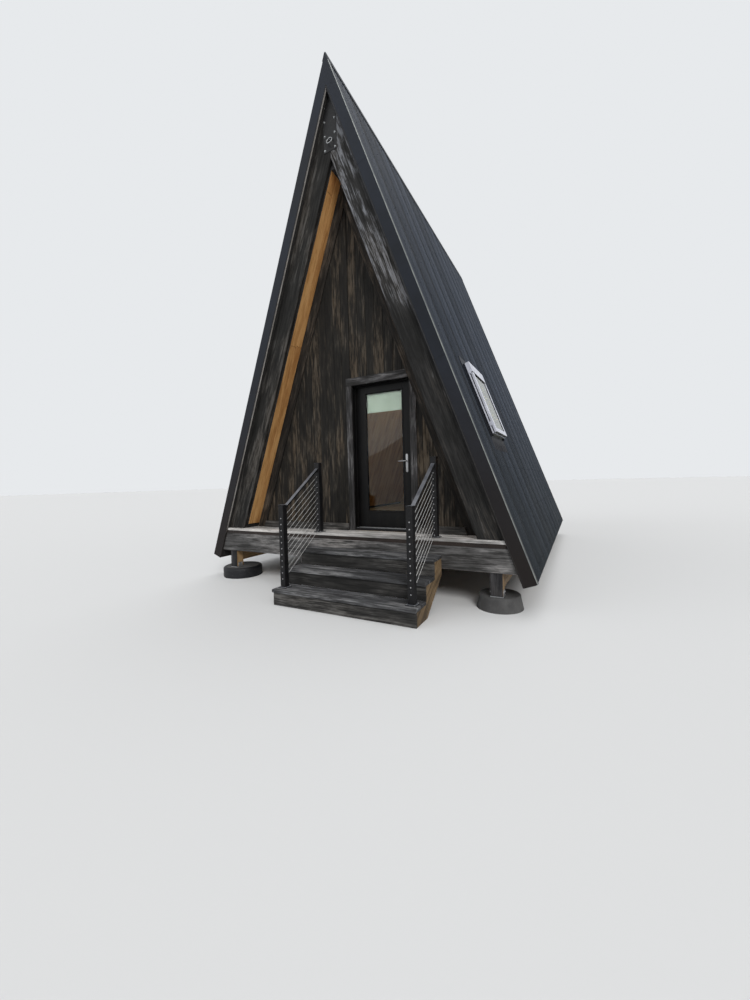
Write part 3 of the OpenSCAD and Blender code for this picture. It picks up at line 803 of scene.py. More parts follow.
# Linings: tongued pine boards under the roof, laid down the slope, with butt
# joints, seen under the porch and through the door.
lining_wood = wood(
    "warm_pine_boards", (0.34, 0.160, 0.052), (0.53, 0.290, 0.110), (0.62, 0.385, 0.18), (0.56, 0.305, 0.105),
    warmth=0.5, knot=0.08, streak=0.12, rough=0.5, relief=0.0005, shine=0.35,
)
LINING_PITCH = 0.136
HALF_JOINT = 0.0022
PORCH_JOINTS = {0: (1.66, 3.81), 1: (1.43, 3.78)}
RIDGE_POINT = Vector((0, 0, RIDGE))
lining_random = random.Random(3)
lining_mesh = bmesh.new()
lining_low, lining_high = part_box("linings")
for solid in solids("linings"):
    way = down_slope(solid)
    spots = [(v.co - RIDGE_POINT).dot(way) for v in solid.verts]
    top, foot = min(spots), max(spots)
    for board in rip(solid, ALONG_Y, LINING_PITCH, lining_low.y, 0.001):
        lane = round((middle_of(board.verts)[1] - lining_low.y) / LINING_PITCH - 0.5)
        joints = PORCH_JOINTS.get(lane) or (lining_random.uniform(1.2, 2.6), lining_random.uniform(3.4, 5.2))
        for joint in joints:
            if top + 0.1 < joint < foot - 0.1:
                upper = board.copy()
                saw(upper, RIDGE_POINT + way * (joint - HALF_JOINT), way)
                saw(board, RIDGE_POINT + way * (joint + HALF_JOINT), -way)
                add_board(lining_mesh, upper, way, 0.002)
        add_board(lining_mesh, board, way, 0.002)
lining_ends = (lining_low.y + 0.004, lining_high.y - 0.004)
paint_faces(
    lining_mesh, 1,
    lambda f: abs(f.normal.y) > 0.5 and not lining_ends[0] < f.calc_center_median().y < lining_ends[1],
)
make_piece("lining_boards", lining_mesh, [lining_wood, dark_boarding], ["linings"])


# End walls: charred upright siding outside, and behind it the rest of the
# wall as upright pine boards, which show indoors.
siding_wood = wood(
    "charred_siding_wood", (0.0036, 0.0031, 0.0026), (0.0115, 0.0100, 0.0080), (0.076, 0.067, 0.055),
    (0.058, 0.038, 0.020), warmth=0.5, knot=0.11, streak=0.038,
)
SIDING_T, SIDING_W, PINE_W = 0.022, 0.139, 0.112
for end, nodes, outward in (
    ("front", ["front_wall_left", "front_wall_right", "front_wall_over"], -1),
    ("back", ["back_wall"], 1),
):
    siding_mesh, inner_mesh = bmesh.new(), bmesh.new()
    way = Vector((0, outward, 0))
    for solid in [part for node in nodes for part in solids(node)]:
        low, high = span_of(solid.verts)
        face = low.y if outward < 0 else high.y
        line = Vector((0, face - outward * SIDING_T, 0))
        shell = solid.copy()
        saw(shell, line, -way)
        saw(solid, line - way * 0.0005, way)
        for board in rip(shell, ALONG_X, SIDING_W, 0.021, 0.0025):
            add_board(siding_mesh, board, UPRIGHT, 0.0028)
        for board in rip(solid, ALONG_X, PINE_W, 0.0, 0.001):
            add_board(inner_mesh, board, UPRIGHT, 0.002)
    paint_faces(inner_mesh, 1, lambda f: f.normal.y * outward > 0.5)
    make_piece("siding_" + end, siding_mesh, [siding_wood], nodes)
    make_piece(f"wall_{end}_inner", inner_mesh, [lining_wood, dark_boarding])


# Boards on the walls: sloping trims where wall and roof meet, and a board
# along the foot that has greyed.
trim_wood = wood(
    "charred_trim_wood", (0.005, 0.0042, 0.0035), (0.018, 0.0152, 0.0125), (0.09, 0.079, 0.067),
    (0.07, 0.045, 0.024), warmth=0.5, streak=0.045,
)
base_wood = wood(
    "grey_base_wood", (0.014, 0.0135, 0.013), (0.045, 0.043, 0.041), (0.17, 0.165, 0.16),
    (0.085, 0.072, 0.058), knot=0.08, streak=0.045,
)
timber_piece("sloping_boards", "wall_trims", down_slope, trim_wood)
timber_piece("foot_boards", "base_boards", ALONG_X, base_wood)


# Doorway: flat casing boards, a black frame with a stop all round, and a
# ribbed metal sill.
casing_wood = wood(
    "grey_casing_wood", (0.010, 0.0096, 0.0092), (0.031, 0.030, 0.031), (0.165, 0.165, 0.172),
    (0.062, 0.055, 0.048), knot=0.08, streak=0.045,
)
door_paint, tree, shader, tone = weathered(
    "satin_black_paint", (0.02, 0.02, 0.02), (0.4, 0.05), (0.0018, 0.0018, 0.002), (0.0038, 0.0038, 0.0041),
    worn=("Runs", 0.2, (0.016, 0.014, 0.012)), gloss=(0.34, 0.12), shine=0.13,
)
strokes = noise(tree, stretch(tree, here(tree), (60.0, 60.0, 18.0)), 1.0, 3.0)
feed(tree, shader.inputs["Normal"], bump(tree, strokes, 0.0004))


def longest(solid):
    """The direction in which a solid is longest."""
    low, high = span_of(solid.verts)
    size = list(high - low)
    return Vector((ALONG_X, ALONG_Y, UPRIGHT)[size.index(max(size))])


timber_piece("casing_boards", "door_casing", longest, casing_wood)
GAP, STOP = 0.005, 0.012
frame_mesh = timbers("door_frame", longest, 0.0015)
frame_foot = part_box("door_frame")[0].z
leaf_low, leaf_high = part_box("door_leaf")
stop_y0, stop_y1 = leaf_low.y - 0.040, leaf_low.y - 0.003
stop_x0, stop_x1, stop_top = leaf_low.x - GAP, leaf_high.x + GAP, leaf_high.z + GAP
for x0, x1, z0 in (
    (stop_x0, stop_x0 + STOP, frame_foot), (stop_x1 - STOP, stop_x1, frame_foot),
    (stop_x0, stop_x1, stop_top - STOP),
):
    join_into(frame_mesh, block((x0, stop_y0, z0), (x1, stop_y1, stop_top), 0.0015))
make_piece("door_surround", frame_mesh, [door_paint], ["door_frame"])

SILL_RIBS = 9
sill_low, sill_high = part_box("door_sill")
sill_mesh = block(sill_low, (sill_high.x, sill_high.y, sill_high.z - 0.006), 0.002)
for k in range(SILL_RIBS):
    y = sill_low.y + 0.012 + k * (sill_high.y - sill_low.y - 0.024) / (SILL_RIBS - 1)
    low = (sill_low.x + 0.002, y - 0.003, sill_high.z - 0.007)
    join_into(sill_mesh, block(low, (sill_high.x - 0.002, y + 0.003, sill_high.z), 0.001))
paint_faces(sill_mesh, 1, lambda f: f.calc_center_median().z > sill_high.z - 0.003 and f.normal.z > 0.5)
make_piece("threshold", sill_mesh, [black_steel, galvanised], ["door_sill"])


# Door leaf: two stiles and two rails with a bead round the long pane, all in
# satin black, hung on three steel hinges.
STILE, TOP_RAIL, BOTTOM_RAIL = 0.154, 0.110, 0.235
BEAD_W, BEAD_OUT = 0.016, 0.005
pane_x0, pane_x1 = leaf_low.x + STILE, leaf_high.x - STILE
pane_z0, pane_z1 = leaf_low.z + BOTTOM_RAIL, leaf_high.z - TOP_RAIL
glass_low, glass_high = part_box("door_glass")
leaf_mesh = bmesh.new()
for x0, x1, z0, z1 in (
    (leaf_low.x, pane_x0, leaf_low.z, leaf_high.z), (pane_x1, leaf_high.x, leaf_low.z, leaf_high.z),
    (pane_x0, pane_x1, leaf_low.z, pane_z0), (pane_x0, pane_x1, pane_z1, leaf_high.z),
):
    add_board(leaf_mesh, block((x0, leaf_low.y, z0), (x1, leaf_high.y, z1)), UPRIGHT, 0.0015)


def closed_ring(rings):
    """A solid four-cornered ring: each item holds the four corners at one step of its section."""
    shape = bmesh.new()
    steps = [[shape.verts.new(corner) for corner in corners] for corners in rings]
    for first, second in zip(steps, steps[1:] + steps[:1]):
        for a, b in ((0, 1), (1, 2), (2, 3), (3, 0)):
            shape.faces.new((first[a], first[b], second[b], second[a]))
    face_out(shape)
    return shape


for y, glass_y, out in ((leaf_low.y, glass_low.y, -1), (leaf_high.y, glass_high.y, 1)):
    rings = []
    for grow, depth in (
        (BEAD_W * 0.5, glass_y + out * 0.001), (BEAD_W * 0.5, y - out * 0.004), (-0.002, y + out * BEAD_OUT),
        (-BEAD_W, y + out * BEAD_OUT), (-BEAD_W - 0.003, y),
    ):
        x0, x1, z0, z1 = pane_x0 + grow, pane_x1 - grow, pane_z0 + grow, pane_z1 - grow
        rings.append([(x0, depth, z0), (x1, depth, z0), (x1, depth, z1), (x0, depth, z1)])
    join_into(leaf_mesh, closed_ring(rings))
make_piece("leaf_frame", leaf_mesh, [door_paint], ["door_leaf"], body="door")


def tinted_glass(name, tint, sizes, smears, low, high, rough, bending):
    """Clear tinted glass with faint smears."""
    material, tree, shader = new_material(name, tint)
    smear = times(tree, mark(tree, *sizes)["Patches"], smears)
    dress(tree, shader, {"Base Color": colour_mix(tree, smear, low, high), "Roughness": rough})
    dress(tree, shader, {"Transmission Weight": 1.0, "IOR": bending})
    return material


glass = tinted_glass(
    "clear_glass", (0.75, 0.82, 0.80), (0.35, 0.05), 0.5, (0.79, 0.87, 0.82), (0.70, 0.78, 0.735), 0.0, 1.30
)
make_piece("door_pane", block(glass_low, glass_high, 0.001), [glass], ["door_glass"], body="door")

HINGE_R, KNUCKLES = 0.007, 5
hinge_mesh = bmesh.new()
for solid in solids("door_hinges"):
    low, high = span_of(solid.verts)
    solid.free()
    x, y = high.x - HINGE_R, high.y - HINGE_R
    step = (high.z - low.z) / KNUCKLES
    for k in range(KNUCKLES):
        rod(hinge_mesh, (x, y, low.z + (k + 0.5) * step), HINGE_R, step - 0.0012, 24)
    for z in (low.z - 0.002, high.z + 0.002):
        tip = Matrix.Translation((x, y, z))
        bmesh.ops.create_uvsphere(hinge_mesh, u_segments=16, v_segments=8, radius=0.005, matrix=tip)
    join_into(hinge_mesh, block((low.x, leaf_high.y, low.z), (x, leaf_high.y + 0.0025, high.z), 0.0008))
    for z in (low.z + 0.018, (low.z + high.z) / 2, high.z - 0.018):
        rod(hinge_mesh, (low.x + 0.012, leaf_high.y + 0.003, z), 0.0042, 0.001, 12, 0.0034, FACE_ON)
make_piece("hinge_set", hinge_mesh, [stainless], ["door_hinges"], smooth=35)


# Handle: a slim rounded plate on each face of the leaf, with a key cylinder
# and two screws, and a lever that turns over toward the pane.
PLATE_W, PLATE_T = 0.034, 0.008
plates_low, plates_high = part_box("handle_plates")
lever_low, lever_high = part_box("door_lever")
plate_x = (plates_low.x + plates_high.x) / 2
spindle_z = (lever_low.z + lever_high.z) / 2
handle_mesh = bmesh.new()
for face, out in ((leaf_low.y, -1), (leaf_high.y, 1)):
    front = face + out * PLATE_T
    low = (plate_x - PLATE_W / 2, min(face, front), plates_low.z)
    plate = block(low, (plate_x + PLATE_W / 2, max(face, front), plates_high.z))
    corners = [e for e in plate.edges if abs((e.verts[0].co - e.verts[1].co).normalized().y) > 0.9]
    bmesh.ops.bevel(
        plate, geom=corners, offset=PLATE_W * 0.49, segments=8, profile=0.5, affect="EDGES", material=-1
    )
    ease(plate, 0.0015, 2, 60)
    join_into(handle_mesh, plate)
    for z, radius, depth, segments in (
        (spindle_z, 0.0125, 0.006, 32), (plates_low.z + 0.062, 0.0088, 0.008, 32),
        (plates_low.z + 0.016, 0.0036, 0.002, 16), (plates_high.z - 0.016, 0.0036, 0.002, 16),
    ):
        rod(handle_mesh, (plate_x, front + out * 0.0005, z), radius, depth, segments, turn=FACE_ON)
make_piece("handle_backs", handle_mesh, [stainless], ["handle_plates"], 35, "door")


def push(mesh, edges, move):
    """Extrudes edges, moves what is new, and returns its edges and vertices."""
    made = bmesh.ops.extrude_edge_only(mesh, edges=edges)["geom"]
    verts = [g for g in made if isinstance(g, bmesh.types.BMVert)]
    bmesh.ops.translate(mesh, vec=move, verts=verts)
    return [g for g in made if isinstance(g, bmesh.types.BMEdge) and all(v in verts for v in g.verts)], verts


NECK_R, BEND_R = 0.0085, 0.016
reach = lever_high.y - leaf_high.y - PLATE_T - 0.009
bend_x, tip_x = plate_x - BEND_R, lever_low.x + 0.008
lever_mesh = bmesh.new()
for face, out in ((leaf_low.y - PLATE_T, -1), (leaf_high.y + PLATE_T, 1)):
    arm = bmesh.new()
    root = Matrix.Translation((plate_x, face + out * 0.002, spindle_z)) @ FACE_ON
    bmesh.ops.create_circle(arm, segments=20, radius=NECK_R, matrix=root)
    ring, verts = push(arm, arm.edges[:], (0, out * (reach - 0.018), 0))
    made = bmesh.ops.spin(
        arm, geom=ring + verts, cent=(bend_x, face + out * (reach - BEND_R), spindle_z), axis=(0, 0, 1),
        angle=out * math.pi / 2, steps=8,
    )["geom_last"]
    verts = [g for g in made if isinstance(g, bmesh.types.BMVert)]
    ring = [g for g in made if isinstance(g, bmesh.types.BMEdge)]
    centre = Matrix.Translation((0, -face - out * reach, -spindle_z))
    for share, squeeze in ((0.4, 0.92), (0.85, 0.86), (1.0, 0.6)):
        now = sum(v.co.x for v in verts) / len(verts)
        ring, verts = push(arm, ring, (bend_x + (tip_x - bend_x) * share - now, 0, 0))
        bmesh.ops.scale(arm, vec=(1, squeeze, squeeze), verts=verts, space=centre)
    bmesh.ops.holes_fill(arm, edges=ring)
    bmesh.ops.holes_fill(arm, edges=[e for e in arm.edges if e.is_boundary])
    face_out(arm)
    join_into(lever_mesh, arm)
spindle_length = leaf_high.y - leaf_low.y + 2 * PLATE_T + 0.004
leaf_y = (leaf_low.y + leaf_high.y) / 2
rod(lever_mesh, (plate_x, leaf_y, spindle_z), 0.0058, spindle_length, 20, turn=FACE_ON)
make_piece("lever_handles", lever_mesh, [stainless], ["door_lever"], 50, "lever")


# Blind: a cream roller blind drawn partly down behind the pane, with its
# cloth rolled on a tube at the top and a bar sewn into the hem.
WEAVE = 2600.0
CLOTH_T = 0.0006
cloth, tree, shader, tone = weathered(
    "blind_cloth", (0.72, 0.73, 0.66), (0.2, 0.05), (0.66, 0.68, 0.60), (0.76, 0.77, 0.70), gloss=(0.85, 0.0)
)
warp, weft = [calc(tree, "SINE", times(tree, part_of(tree, axis), WEAVE)) for axis in "XZ"]
weave = bump(tree, times(tree, warp, weft), 0.0002)
dress(tree, shader, {"Sheen Weight": 0.2, "Normal": weave})
blind_low, blind_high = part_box("door_blind")
blind_x, blind_y = (blind_low.x + blind_high.x) / 2, (blind_low.y + blind_high.y) / 2
BLIND_FLAT = (blind_high.x - blind_low.x, blind_high.z - blind_low.z - 0.012)
drop = bmesh.new()
bmesh.ops.create_grid(drop, x_segments=24, y_segments=14, size=0.5)
for vert in drop.verts:
    u, v = vert.co.x + 0.5, vert.co.y + 0.5
    sag = 0.0010 * math.sin(u * math.pi) * (1 - v) + 0.0006 * math.sin(u * 9.0 + v * 3.0)
    x, z = blind_low.x + u * BLIND_FLAT[0], blind_low.z + 0.004 + v * BLIND_FLAT[1]
    vert.co = Vector((x, blind_y - 0.0005 + sag, z))
blind = make_piece("blind_drop", drop, [cloth], ["door_blind"], smooth=60, body="door")
thicken = blind.modifiers.new("cloth", "SOLIDIFY")
thicken.thickness = CLOTH_T
thicken.offset = 0.0
hem, tube = bmesh.new(), bmesh.new()
rod(hem, (blind_x, blind_y, blind_low.z + 0.004), 0.0038, BLIND_FLAT[0], 16, turn=SIDEWAYS)
rod(tube, (blind_x, blind_y + 0.0085, blind_high.z - 0.011), 0.0095, BLIND_FLAT[0], 28, turn=SIDEWAYS)
hem_bar = make_piece("blind_hem_bar", hem, [cloth], smooth=40, body="door")
blind_roll = make_piece("blind_roll", tube, [cloth], smooth=40, body="door")


# Roof sheets: long corrugated steel sheets in dark blue-black, laid from the
# eaves to the ridge, lapped at their sides and screwed to the battens.
EAVE = 0.364
EAVE_T = (RIDGE - EAVE) / math.sin(PITCH)
RIB, RIB_DEPTH, RIB_STEPS, SHEET_RIBS = 0.0676, 0.0165, 8, 9
SHEET_GAUGE = 0.0009
roof_low, roof_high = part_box("roof_sheets")
roof_paint, tree, shader = new_material("roof_paint", (0.03, 0.037, 0.05))
marks = mark(tree, 0.9, 0.07, stretch(tree, here(tree), (0.0, 1.0, 1.0)))
rib_turn = times(tree, part_of(tree, "Y"), math.tau / RIB)
rib_wave = calc(tree, "COSINE", calc(tree, "SUBTRACT", rib_turn, roof_low.y * math.tau / RIB))
# Crests are painted lighter as a painted sky reflection, and valleys darker as painted shade.
crest = spread(tree, rib_wave, 0.15, 0.95)
sheets_in = calc(tree, "DIVIDE", rib_turn, math.tau * SHEET_RIBS)
sheets_in = calc(tree, "SUBTRACT", sheets_in, roof_low.y / (SHEET_RIBS * RIB))
across = calc(tree, "FRACT", sheets_in)
sheet_index = calc(tree, "FLOOR", sheets_in)
batch = wire(tree, "TexWhiteNoise", {"W": sheet_index}, noise_dimensions="1D").outputs["Value"]
# Dark stripes at each sheet's laps and a fainter stripe inside each sheet: painted shade.
lap = spread(tree, away(tree, across, 0.5), 0.30, 0.44)
inner_stripe_shade = spread(tree, away(tree, across, 0.42), 0.12, 0.05)
inner_stripe_shade = times(tree, inner_stripe_shade, calc(tree, "MULTIPLY_ADD", batch, 0.5, 0.25))
shade = calc(tree, "MAXIMUM", lap, inner_stripe_shade)
# Darker toward the eaves: painted shade.
lower_roof_shade = spread(tree, part_of(tree, "Z"), 3.4, 0.3)
# The painted sky reflection on the crests, its tone varying from sheet to sheet.
crest_sheen_tone = colour_mix(tree, batch, (0.025, 0.033, 0.048), (0.058, 0.073, 0.102))
tone = colour_mix(tree, crest, (0.004, 0.005, 0.0075), crest_sheen_tone)
tone = colour_mix(tree, times(tree, shade, 0.85), tone, (0.006, 0.0075, 0.011))
tone = colour_mix(tree, times(tree, marks["Patches"], 0.2), tone, (0.020, 0.026, 0.036))
tone = colour_mix(tree, times(tree, lower_roof_shade, 0.72), tone, (0.008, 0.0105, 0.0115))
roof_gloss = calc(tree, "MULTIPLY_ADD", marks["Patches"], 0.12, 0.50)
dress(tree, shader, {"Base Color": tone, "Roughness": roof_gloss, "Specular IOR Level": 0.15})

SLOPE_RIGHT = Matrix((
    (math.cos(PITCH), 0.0, math.sin(PITCH), 0.0),
    (0.0, 1.0, 0.0, 0.0),
    (-math.sin(PITCH), 0.0, math.cos(PITCH), RIDGE),
    (0.0, 0.0, 0.0, 1.0),
))


def on_both_slopes(mesh):
    """Lays a shape made in the slope's own frame on the right side and mirrors it on the left."""
    other = mesh.copy()
    bmesh.ops.transform(mesh, matrix=SLOPE_RIGHT, verts=mesh.verts[:])
    flip = Matrix.Scale(-1.0, 4, Vector(ALONG_X)) @ SLOPE_RIGHT
    bmesh.ops.transform(other, matrix=flip, verts=other.verts[:])
    bmesh.ops.reverse_faces(other, faces=other.faces[:])
    join_into(mesh, other)
    return mesh


def rib_at(y):
    """The roof's corrugation at a place along it, from -1 in a valley to 1 on a crest."""
    return math.cos((y - roof_low.y) / RIB * math.tau)


WIN_L, WIN_W, WIN_UP = 1.050, 0.820, 0.090
WIN_T0, WIN_Y0 = 4.520, deck_edge + 0.885
WIN_T1, WIN_Y1 = WIN_T0 + WIN_L, WIN_Y0 + WIN_W
sheet_mesh = bmesh.new()
y = roof_low.y + 0.002
sheet_number = 0
while y < roof_high.y - 0.01:
    ribs_here = min(SHEET_RIBS, (roof_high.y - 0.002 - y) / RIB)
    strip = bmesh.new()
    bmesh.ops.create_grid(strip, x_segments=1, y_segments=round(ribs_here * RIB_STEPS), size=0.5)
    lift = 0.0008 if sheet_number % 2 else 0.0
    for vert in strip.verts:
        t = 0.012 if vert.co.x < 0 else EAVE_T - 0.002
        at = y - 0.006 + (vert.co.y + 0.5) * (ribs_here * RIB + 0.010)
        height = -0.0105 + RIB_DEPTH / 2 * rib_at(at) + lift
        vert.co = Vector((t, min(max(at, roof_low.y + 0.002), roof_high.y - 0.002), height))
    join_into(sheet_mesh, strip)
    y += ribs_here * RIB
    sheet_number += 1
for t in (WIN_T0 - 0.002, WIN_T1 + 0.002):
    split(sheet_mesh, (t, 0, 0), ALONG_X, False)
for y in (WIN_Y0 - 0.002, WIN_Y1 + 0.002):
    split(sheet_mesh, (0, y, 0), ALONG_Y, False)
hole = []
for face in sheet_mesh.faces:
    spot = face.calc_center_median()
    if WIN_T0 < spot.x < WIN_T1 and WIN_Y0 < spot.y < WIN_Y1:
        hole.append(face)
bmesh.ops.delete(sheet_mesh, geom=hole, context="FACES")
bmesh.ops.solidify(sheet_mesh, geom=sheet_mesh.faces[:], thickness=SHEET_GAUGE)
face_out(sheet_mesh)
make_piece("roof_corrugated", on_both_slopes(sheet_mesh), [roof_paint], ["roof_sheets"], 45)

SCREW_ROWS, SCREW_RIBS = 12, 3
screw_mesh = bmesh.new()
for row in range(SCREW_ROWS):
    t = 0.28 + row * (EAVE_T - 0.40) / (SCREW_ROWS - 1)
    k = 1
    while roof_low.y + k * RIB < roof_high.y - 0.05:
        at = roof_low.y + k * RIB
        k += SCREW_RIBS
        if WIN_T0 - 0.05 < t < WIN_T1 + 0.25 and WIN_Y0 - 0.05 < at < WIN_Y1 + 0.05:
            continue
        rod(screw_mesh, (t, at, -0.0010), 0.0075, 0.0015, 10, 0.0070)
        rod(screw_mesh, (t, at, 0.0020), 0.0042, 0.0050, 6, 0.0040)
make_piece("roof_screws", on_both_slopes(screw_mesh), [roof_paint])


# Flashings: folded trims up both ends of the roof, a cap over the ridge and
# an edge along the eaves, all bent from the same painted steel.
FOLD_GAUGE = 0.0012


def folded(path, start, end, down=True):
    """Folded sheet: a path of (y, height) points pushed down the slope, or of (t, height) pushed along y."""
    shape = bmesh.new()
    points = [shape.verts.new((start, a, b) if down else (a, start, b)) for a, b in path]
    edges = [shape.edges.new(pair) for pair in zip(points, points[1:])]
    push(shape, edges, (end - start, 0, 0) if down else (0, end - start, 0))
    face_out(shape)
    bmesh.ops.solidify(shape, geom=shape.faces[:], thickness=FOLD_GAUGE)
    face_out(shape)
    return shape


TRIM_BOTTOM, TRIM_TOP = -0.164, 0.0032
HEM_IN, LEG_ON, FOLD = 0.024, 0.062, 0.013
TRIM_LAPS = (0.0, 1.742, 4.62, EAVE_T - 0.001)
trim_low, trim_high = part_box("rake_trims")
rake_mesh = bmesh.new()
for end, out in ((trim_low.y, -1), (trim_high.y, 1)):
    path = [(end - out * inward, height) for inward, height in (
        (LEG_ON, 0.0008), (LEG_ON, TRIM_TOP), (FOLD, TRIM_TOP), (0.0, -0.004), (0.0, -0.146),
        (0.0035, -0.1490), (0.0035, -0.1560), (0.0, TRIM_BOTTOM + 0.003), (0.002, TRIM_BOTTOM),
        (HEM_IN, TRIM_BOTTOM),
    )]
    for first, second in zip(TRIM_LAPS, TRIM_LAPS[1:]):
        join_into(rake_mesh, folded(path, first + 0.0015, second - 0.0015))
    outward = Matrix.Rotation(out * math.pi / 2, 4, "X")
    for k in range(12):
        rod(rake_mesh, (0.45 + 0.6 * k, end + out * 0.0010, -0.075), 0.0052, 0.0030, 12, 0.0040, outward)
mitre_normal = (SLOPE_RIGHT.inverted().to_3x3() @ Vector((-1, 0, 0))).normalized()
split(rake_mesh, (0, 0, 0), mitre_normal)
bmesh.ops.holes_fill(rake_mesh, edges=[e for e in rake_mesh.edges if e.is_boundary])
trim_paint, tree, shader, tone = weathered(
    "trim_paint", (0.03, 0.034, 0.042), (0.8, 0.06), (0.0062, 0.0080, 0.0118), (0.0130, 0.0163, 0.0240),
    gloss=(0.45, 0.12), shine=0.14, relief=(6.0, 2.0, 0.0010),
)
# The paint grows darker toward the foot of every flashing that uses it: painted shade.
foot_shade = times(tree, spread(tree, part_of(tree, "Z"), 3.2, 0.6), 0.9)
feed(tree, shader.inputs["Base Color"], colour_mix(tree, foot_shade, tone, (0.0125, 0.0098, 0.0088)))
# The hems along the trims' lower edges are painted pale as a painted highlight, and dark below deck level as
# painted shade.
hem_highlight, tree, shader, tone = weathered(
    "hem_painted_highlight", (0.42, 0.40, 0.37), (0.3, 0.02), (0.26, 0.24, 0.22), (0.48, 0.46, 0.44)
)
lit_above_deck = spread(tree, part_of(tree, "Z"), 0.72, 0.98)
feed(tree, shader.inputs["Base Color"], colour_mix(tree, lit_above_deck, (0.016, 0.0125, 0.011), tone))
# The folded corner along the top of each trim is painted lighter: a painted highlight.
fold_highlight = weathered(
    "painted_highlight_on_folds", (0.18, 0.20, 0.19), (0.25, 0.02), (0.10, 0.115, 0.115), (0.24, 0.26, 0.245),
    gloss=(0.45, 0.0),
)[0]
# The hem faces take the painted highlight.
paint_faces(rake_mesh, 1, lambda f: f.calc_center_median().z < TRIM_BOTTOM + 0.0012)
# The fold faces take the painted highlight.
paint_faces(
    rake_mesh, 2, lambda f: f.normal.z > 0.2 and abs(f.normal.y) > 0.2 and f.calc_center_median().z > -0.004
)
rake_paints = [trim_paint, hem_highlight, fold_highlight]
make_piece("rake_flashings", on_both_slopes(rake_mesh), rake_paints, ["rake_trims"])

CAP_LEG, CAP_RISE, CAP_SHEET = 0.120, 0.0066, 3.05
CAP_SCREWS = 22
cap_low, cap_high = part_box("ridge_cap")
cap_path = [(0.0, CAP_RISE), (CAP_LEG - 0.012, CAP_RISE)]
cap_path += [(CAP_LEG, CAP_RISE - 0.0035), (CAP_LEG - 0.004, CAP_RISE - 0.0040)]
cap_laps = [cap_low.y, cap_low.y + CAP_SHEET, cap_low.y + 2 * CAP_SHEET, cap_high.y]
cap_mesh = bmesh.new()
for first, second in zip(cap_laps, cap_laps[1:]):
    join_into(cap_mesh, folded(cap_path, first + 0.001, second - 0.001, down=False))
for k in range(CAP_SCREWS):
    at = cap_low.y + 0.12 + k * (cap_high.y - cap_low.y - 0.24) / (CAP_SCREWS - 1)
    rod(cap_mesh, (CAP_LEG - 0.03, at, CAP_RISE + 0.002), 0.0045, 0.0050, 6, 0.0042)
split(cap_mesh, (0, 0, 0), mitre_normal)
make_piece("ridge_flashing", on_both_slopes(cap_mesh), [trim_paint], ["ridge_cap"])

eave_path = [(EAVE_T - 0.03, -0.0195), (EAVE_T + 0.002, -0.0195)]
eave_path += [(EAVE_T + 0.002, -0.158), (EAVE_T - 0.012, -0.1595)]
eave_mesh = folded(eave_path, trim_low.y + 0.005, trim_high.y - 0.005, down=False)
make_piece("eave_flashings", on_both_slopes(eave_mesh), [trim_paint], ["eave_trims"])


# Roof windows: a pine box through the roof, clad outside in pale aluminium,
# with a closed sash, a dark rubber seal and a flashing skirt.
cladding = weathered(
    "window_cladding_metal", (0.50, 0.51, 0.57), (0.3, 0.04), (0.46, 0.48, 0.56), (0.62, 0.64, 0.71),
    worn=("Runs", 0.3, (0.26, 0.27, 0.28)), gloss=(0.38, 0.15),
)[0]
# The faces at each window's lower end that look down the slope are painted dark: painted shade.
lower_edge = weathered(
    "window_lower_edge_painted_shade", (0.10, 0.11, 0.09), (0.12, 0.02), (0.035, 0.040, 0.032), (0.11, 0.115, 0.095),
    gloss=(0.5, 0.2, "Specks"),
)[0]
rubber, tree, shader = new_material("black_rubber_seal", (0.02, 0.02, 0.02))
tone = colour_mix(tree, noise(tree, here(tree), 30.0), (0.010, 0.010, 0.010), (0.024, 0.024, 0.024))
dress(tree, shader, {"Base Color": tone, "Roughness": 0.8})

FRAME_WALL, FRAME_UP, SASH_BAR = 0.045, 0.048, 0.070
LINER_LOW, LINER_HIGH = -0.485, FRAME_UP - 0.004
in_y0, in_y1 = WIN_Y0 + FRAME_WALL, WIN_Y1 - FRAME_WALL
liner_mesh = bmesh.new()
for t0, t1, y0, y1, along in (
    (WIN_T0, WIN_T1, WIN_Y0, in_y0, ALONG_X), (WIN_T0, WIN_T1, in_y1, WIN_Y1, ALONG_X),
    (WIN_T0, WIN_T0 + FRAME_WALL, in_y0, in_y1, ALONG_Y),
    (WIN_T1 - FRAME_WALL, WIN_T1, in_y0, in_y1, ALONG_Y),
):
    add_board(liner_mesh, block((t0, y0, LINER_LOW), (t1, y1, LINER_HIGH)), along, 0.0015)
make_piece("window_liners", on_both_slopes(liner_mesh), [lining_wood], ["window_frames"])


def frame_ring(outer, inner, low, high, width):
    """A ring of mitred bars round the window, between two insets from its edge and two heights."""
    rings = []
    for by, z in ((outer, low), (outer, high), (inner, high), (inner, low)):
        t0, t1, y0, y1 = WIN_T0 + by, WIN_T1 - by, WIN_Y0 + by, WIN_Y1 - by
        rings.append([(t0, y0, z), (t1, y0, z), (t1, y1, z), (t0, y1, z)])
    shape = closed_ring(rings)
    ease(shape, width, 2)
    return shape


clad_mesh = frame_ring(-0.010, 0.020, 0.001, FRAME_UP - 0.003, 0.0015)
join_into(clad_mesh, frame_ring(-0.002, SASH_BAR, FRAME_UP + 0.009, WIN_UP, 0.006))
for t in (WIN_T0 + 0.10, WIN_T1 - 0.16):
    low = (t, WIN_Y0 - 0.012, FRAME_UP - 0.012)
    join_into(clad_mesh, block(low, (t + 0.06, WIN_Y0 - 0.004, FRAME_UP + 0.022), 0.002))
hood_low = (WIN_T0 - 0.012, WIN_Y0 - 0.008, 0.006)
join_into(clad_mesh, block(hood_low, (WIN_T0 + 0.150, WIN_Y1 + 0.008, WIN_UP + 0.002), 0.005, 2))
